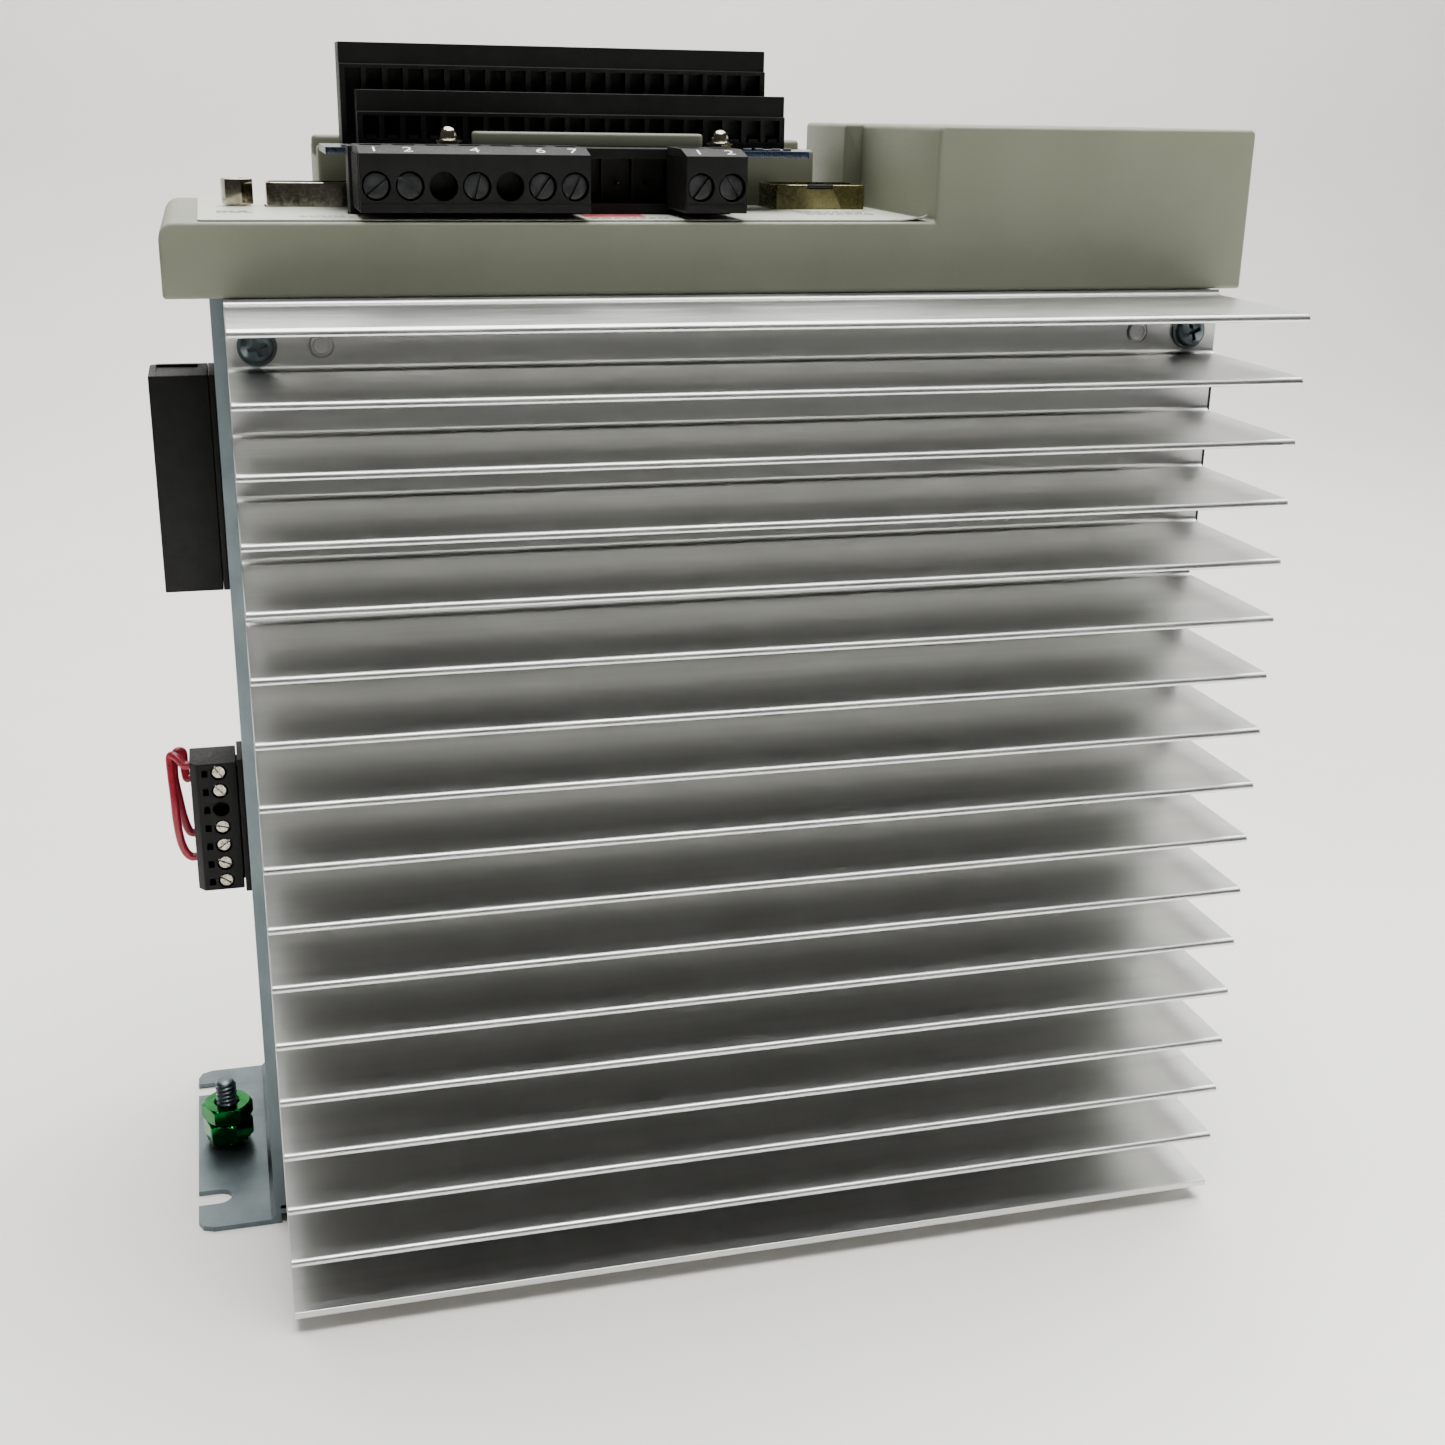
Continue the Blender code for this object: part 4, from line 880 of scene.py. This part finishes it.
# Route points: x from the plug's left face less a gap, y from the heatsink's base, and z.
ENTRY, WIRE_RADIUS = PLUG_LEFT - 0.3, 1.1
LONG_JUMPER = [
    (3.2, 32.6, 125.2), (0.0, 32.6, 125.2), (-1.2, 32.7, 125.3), (-3.1, 34.2, 127.0), (-4.6, 35.6, 126.8),
    (-4.6, 34.4, 122.6), (-4.3, 32.6, 116.5), (-4.1, 31.6, 110.5), (-3.5, 31.2, 104.8), (-2.4, 31.2, 101.3),
    (-1.1, 31.2, 99.9), (0.0, 31.2, 99.8), (3.2, 31.2, 99.8),
]
SHORT_JUMPER = [
    (3.2, 36.4, 120.2), (0.0, 36.4, 120.2), (-0.9, 36.5, 120.4), (-1.3, 38.0, 123.4), (-1.5, 39.2, 126.6),
    (-3.4, 38.9, 126.3), (-4.0, 37.6, 121.0), (-3.2, 36.2, 114.6), (-2.4, 35.4, 109.6), (-1.3, 35.2, 105.8),
    (0.0, 35.2, 105.0), (3.2, 35.2, 105.0),
]
for node, route in (("jumper_wire_long", LONG_JUMPER), ("jumper_wire_short", SHORT_JUMPER)):
    stand_in(f"{node}_insulation", tube(np.array(route) + (ENTRY, ROOT, 0), WIRE_RADIUS), RED_WIRE, node, 60)
    run = smooth_route(route, 500)
    print(node, "is", round(float(np.linalg.norm(np.diff(run, axis=0), axis=1).sum()), 1), "mm long")

# %% [markdown]
# ## Wall connectors
#
# Plain black housings. The left one has a far corner cut off and a shallow pocket in its end. Each plugs into a
# flange with a mouth in it, which shows only when the plug is pulled.

# %% Wall connectors
low, high = node_box("relay_plug")
left, near, far = low[0], low[1], high[1]
plan = [(left, near), (-128.55, near), (-128.55, far), (left + 1.8, far), (left, far - 1.8)]
made = stand_in("relay_plug_block", soft_prism(plan, "Z", low[2], high[2]), BLACK, "relay_plug")
carve(made, [box((left + 1.6, near + 7, high[2] - 0.6), (left + 11.5, near + 19, high[2] + 1))])
low, high = node_box("brake_plug")
stand_in("brake_plug_block", soft_box((128.55, low[1], low[2]), high), BLACK, "brake_plug")
FLANGE_FACE, MOUTH_INSET = 128.5, 2.0
for node, side in (("relay_header", -1), ("brake_header", 1)):
    low, high = node_box(node)
    x0, x1 = sorted((side * WALL_FACE, side * FLANGE_FACE))
    flange = soft_box((x0, low[1], low[2]), (x1, high[1], high[2]), 0.3, 0.2)
    made = stand_in(f"{node}_flange", flange, BLACK, node)
    x0, x1 = sorted((side * WALL_FACE * 1.003, side * FLANGE_FACE * 1.01))
    mouth = box((x0, *(low[1:] + MOUTH_INSET)), (x1, *(high[1:] - MOUTH_INSET)))
    carve(made, [mouth])

# %% [markdown]
# ## Port, posts and jack
#
# The port's shell is drawn sheet with a rolled rim, and its two posts are hexagonal bar drilled for a
# screw. The jack is a folded tin box with a gap for the latch.

# %% Port and jack
low, high = node_box("port_shell")
shell = soft_prism(rectangle(low[0], high[0], low[1], high[1]), "Z", low[2], high[2], 2.0, 0.34, 5)
shell = stand_in("port_shell_drawn", shell, NICKEL, "port_shell")
PORT_WALL, PORT_ROW, PORT_PITCH = 0.7, 2.8, 2.76
hollow = rectangle(low[0] + PORT_WALL, high[0] - PORT_WALL, low[1] + PORT_WALL, high[1] - PORT_WALL)
carve(shell, [soft_prism(hollow, "Z", low[2] - 1, high[2] + 1, 1.6, 0.02, 1)])
pin_x = np.arange(low[0] + 4, high[0] - 3, PORT_PITCH)
contact = [(0.5, 264), (0.5, 269.4), (0.3, 270.0)]
rows = (low[1] + PORT_ROW, high[1] - PORT_ROW)
contacts = [turned(contact, (x, y, 0), "Z", 8) for x in pin_x for y in rows]
piece("port_contacts", merged(contacts), GOLD, "port_shell")


def hexagon(flats, turn=0.0):
    """Six corners, each at half the width over flats divided by cos 30 degrees from the middle."""
    t = turn + 2 * math.pi * (np.arange(6) + 0.5) / 6
    return flats / 2 / math.cos(math.pi / 6) * np.column_stack((np.cos(t), np.sin(t)))


for label in ("left", "right"):
    node = f"port_post_{label}"
    centre, top = middle(node)[:2], node_box(node)[1][2]
    post = soft_prism(hexagon(6.9, 0.25) + centre, "Z", top - 6.3, top, 0.25, 0.35, 4)
    made = stand_in(f"{node}_bar", post, NICKEL, node)
    carve(made, [turned([(1.3, -4), (1.3, -0.4), (1.8, 0.2), (1.8, 1)], (*centre, top), "Z", 32)])
low, high = node_box("jack_shell")
shell = stand_in("jack_shell_folded", soft_box(low, high, 0.5, 0.25), TIN, "jack_shell")
carve(shell, [
    box((low[0] + 0.6, low[1] + 0.6, low[2] - 1), (high[0] - 0.6, high[1] - 0.6, high[2] + 1)),
    box((26.6, low[1] - 1, high[2] - 1.1), (33.8, low[1] + 1.5, high[2] + 1)),
])
contacts = [
    box((x, low[1] + 9.0, 258.0), (x + 0.45, low[1] + 9.5, 269.5)) for x in np.arange(26.3, 34.8, 1.02)
]
piece("jack_contacts", merged(contacts), GOLD, "jack_shell")

# %% [markdown]
# ## Option card
#
# A blue board with its connector's moulded bar, a few small chips and two captive screws. A screw's flange and
# dome are one turned profile, with a small cross pressed into the top.

# %% Card board and screws
low, high = node_box("card_board")
board_top = high[2]
stand_in("card_laminate", soft_box(low, high, 0.6, 0.08), BOARD_BLUE, "card_board")
low, high = node_box("card_connector")
stand_in("card_connector_bar", soft_box(low, high, 1.6, 0.7), PUTTY, "card_connector", 50)
HEAD_RISE, SHANK = 4.9, 6.4
for label in ("left", "right"):
    node = f"card_screw_{label}"
    centre = middle(node)
    centre[2] = node_box(node)[1][2] - HEAD_RISE
    t = np.linspace(0, math.pi / 2, 10)
    dome = np.column_stack((2.4 * np.cos(t), 2.5 + 2.35 * np.sin(t)))[:-1]
    flange = [(3.2, 0), (3.2, 0.9), (3.65, 1.1), (3.65, 1.5), (2.6, 2.0), (2.4, 2.1)]
    profile = [(1.5, -SHANK), (1.5, 0), *flange, *dome.tolist()]
    made = stand_in(f"{node}_turned", turned(profile, centre), NICKEL, node, 40)
    arms = [aimed_box((1.0, 0.22, 0.5), centre + (0, 0, HEAD_RISE), "Z", 25 + angle) for angle in (0, 90)]
    carve(made, arms, 40)
CHIPS = (
    (-94, 31.2), (-90.5, 31.2), (-87, 33.4), (-83, 31.6), (-79, 33.0),
    (6.5, 31.5), (10, 33.2), (14, 31.4), (17.5, 33),
)
chips = [
    soft_box((x, ROOT + y, board_top), (x + 2.0, ROOT + y + 1.2, board_top + 0.6), 0.1, 0.1) for x, y in CHIPS
]
piece("card_chips", merged(chips), GREY_CASE, "card_board")

# %% [markdown]
# ## Terminal strips
#
# Two strips of 21 terminals stand on the card. Each terminal is a well in the near face with a small foot, and a
# slotted screw in the top. The block is one prism whose section has a ledge, and the wells and screw bores are
# cut from it in two goes.


# %% Terminal strips
STRIP_WAYS, BAND, STEP = 21, 5.0, 1.0


def strip_screw(x, y, z, degrees):
    """A small slotted head: two half discs of 12 sides with a gap of 0.5 mm between them."""
    t = np.linspace(0, math.pi, 7)
    half = np.column_stack((1.7 * np.cos(t), 0.25 + 1.5 * np.sin(t)))
    parts = []
    for sign in (1, -1):
        ring = half * (sign, sign)
        flat = np.vstack([np.column_stack((ring, np.full(len(ring), level))) for level in (-1.0, 0.0)])
        parts.append((flat, skin(2, len(ring))))
    points, faces = merged(parts + [box((-1.5, -0.3, -1.0), (1.5, 0.3, -0.6))])
    return spun(points, np.zeros(3), "Z", degrees) + (x, y, z), faces


def terminal_strip(node, seed):
    """The block, its feet, and its screws, whose angles the seed settles."""
    low, high = node_box(node)
    near, far, top = low[1] + STEP, high[1], high[2]
    ledge = top - BAND
    section = [(low[1], low[2]), (far, low[2]), (far, top), (near, top), (near, ledge), (low[1], ledge)]
    made = stand_in(f"{node}_block", soft_prism(section, "X", low[0], high[0], 0.18, 0.15), BLACK, node)
    centres = (low[0] + high[0]) / 2 + (np.arange(STRIP_WAYS) - (STRIP_WAYS - 1) / 2) * SIGNAL_PITCH
    sill = ledge - 0.9
    wells = [box((x - 1.9, low[1] - 1, low[2] + 1.6), (x + 1.9, near + 2.6, sill)) for x in centres]
    depth = (near + far) / 2
    bores = [turned([(1.95, -1.6), (1.95, 1)], (x, depth, top), "Z", 20) for x in centres]
    carve(made, [merged(wells), merged(bores)])
    feet = [box((x - 1.2, low[1] - 0.1, low[2] + 1.5), (x + 1.2, low[1] + 1.6, low[2] + 2.4)) for x in centres]
    piece(f"{node}_feet", merged(feet), BLACK, node)
    angles = np.random.default_rng(seed).uniform(-90, 90, STRIP_WAYS)
    heads = [strip_screw(x, depth, top - 0.5, angle) for x, angle in zip(centres, angles)]
    piece(f"{node}_screws", merged(heads), STEEL, node)


terminal_strip("lower_terminal_strip", 11)
terminal_strip("upper_terminal_strip", 12)
print("terminals:", 2 * STRIP_WAYS)

# %% [markdown]
# ## Ground stud
#
# The stud's thread is a surface whose radius dips with a triangle wave that winds up it. A nut is a hexagon
# cut down by a cone at its two ends, which leaves the curved chamfer lines on each flat.


# %% Stud and nuts
def thread(centre, radius, low, high, pitch=1.27, depth=0.75, steps=48):
    """r(t, z) = radius - depth |2 frac(z / pitch - t / 2 pi) - 1|, and it narrows over the last pitch."""
    levels = np.linspace(low, high, int((high - low) / pitch * 10))
    t = np.linspace(0, 2 * math.pi, steps, endpoint=False)
    phase = (levels[:, None] / pitch - t[None] / (2 * math.pi)) % 1.0
    r = radius - depth * np.abs(2 * phase - 1)
    r = np.minimum(r, radius - 0.9 + (high - levels[:, None]))
    z = np.broadcast_to(levels[:, None], r.shape)
    points = np.stack((r * np.cos(t), r * np.sin(t), z), axis=2).reshape(-1, 3)
    return points + (*centre, 0), skin(len(levels), steps)


def nut(centre, flats, bore, low, high, turn, steps=96):
    """Outer radius = min(hexagon, chamfer cone): flats / 2 / cos of the angle from the nearest flat's middle,
    and flats / 2 + 0.1 plus 1.7 times the way in from the nearer end."""
    t = np.linspace(0, 2 * math.pi, steps, endpoint=False)
    share = np.concatenate((np.linspace(0, 0.25, 6), np.linspace(0.75, 1, 6)))
    levels = low + (high - low) * share
    local = (t - turn + math.pi / 6) % (math.pi / 3) - math.pi / 6
    hexed = flats / 2 / np.cos(local)
    way_in = np.minimum(levels - low, high - levels)
    outer = np.minimum(hexed[None], flats / 2 + 0.1 + 1.7 * way_in[:, None])
    rings = [(np.full(steps, bore + 0.4), low), (np.full(steps, flats / 2 - 0.25), low), *zip(outer, levels)]
    rings += [(np.full(steps, flats / 2 - 0.25), high), (np.full(steps, bore + 0.4), high)]
    rings += [(np.full(steps, bore), high - 0.4), (np.full(steps, bore), low + 0.4)]
    points = np.vstack([np.column_stack((r * np.cos(t), r * np.sin(t), np.full(steps, z))) for r, z in rings])
    ring = np.arange(steps)
    after = (ring + 1) % steps
    rows = np.arange(len(rings))[:, None] * steps
    next_rows = (np.arange(len(rings))[:, None] + 1) % len(rings) * steps
    quads = np.stack((rows + ring, rows + after, next_rows + after, next_rows + ring), axis=2)
    return points + (*centre, 0), quads.reshape(-1, 4).tolist()


centre, stud_top = middle("ground_stud")[:2], node_box("ground_stud")[1][2]
foot = [(2.3, 0.2), (2.3, 1.8), (4.2, 1.8), (4.2, 2.2), (2.5, 2.3), (2.5, 3.0)]
stud = [turned(foot, (*centre, 0)), thread(centre, 3.0, 2.2, stud_top)]
stand_in("ground_stud_thread", merged(stud), ZINC, "ground_stud", 60)
NUT_FLATS, NUT_BORE, WASHER = 12.5, 3.3, 1.0
for label, turn in (("lower", 0.30), ("upper", 0.52)):
    node = f"ground_nut_{label}"
    low, high = node_box(node)
    has_washer = label == "lower"
    parts = [nut(centre, NUT_FLATS, NUT_BORE, low[2] + WASHER * has_washer, high[2], turn)]
    if has_washer:
        t = np.linspace(0, 2 * math.pi, 72, endpoint=False)
        teeth = 5.6 + 0.5 * np.sign(np.sin(18 * t))
        outline = np.column_stack((teeth * np.cos(t), teeth * np.sin(t))) + centre
        parts.append(soft_prism(outline, "Z", low[2], low[2] + 0.9, 0.02, 0.1, 1))
    stand_in(f"{node}_hexagon", merged(parts), GREEN, node, 25)
print("stud's top at", round(float(stud_top), 1), "mm")

# %% [markdown]
# ## Parts that keep their solid
#
# Folded sheet, boards and the parts inside are right as they are. Each gets the finish its record names.

# %% Finishes of the solids
BY_SLOT = {
    "zinc": ZINC, "aluminium": ALUMINIUM, "putty": PUTTY, "black": BLACK, "screw": STEEL, "dark_screw": BLACKENED,
    "nickel": NICKEL, "green": GREEN, "tin": TIN, "paper": FILM, "board_blue": BOARD_BLUE,
    "board_green": BOARD_GREEN, "red": RED_WIRE, "grey": GREY_CASE, "blue": SLEEVE, "copper": COPPER,
}
for part in frame["record"]["subparts"]:
    mesh = frame["nodes"][part["node"]].data
    mesh.materials.clear()
    mesh.materials.append(RIBBON if part["node"] == "ribbon_cable" else BY_SLOT[part["material_slot"]])

# %% Last update
bpy.context.view_layer.update()
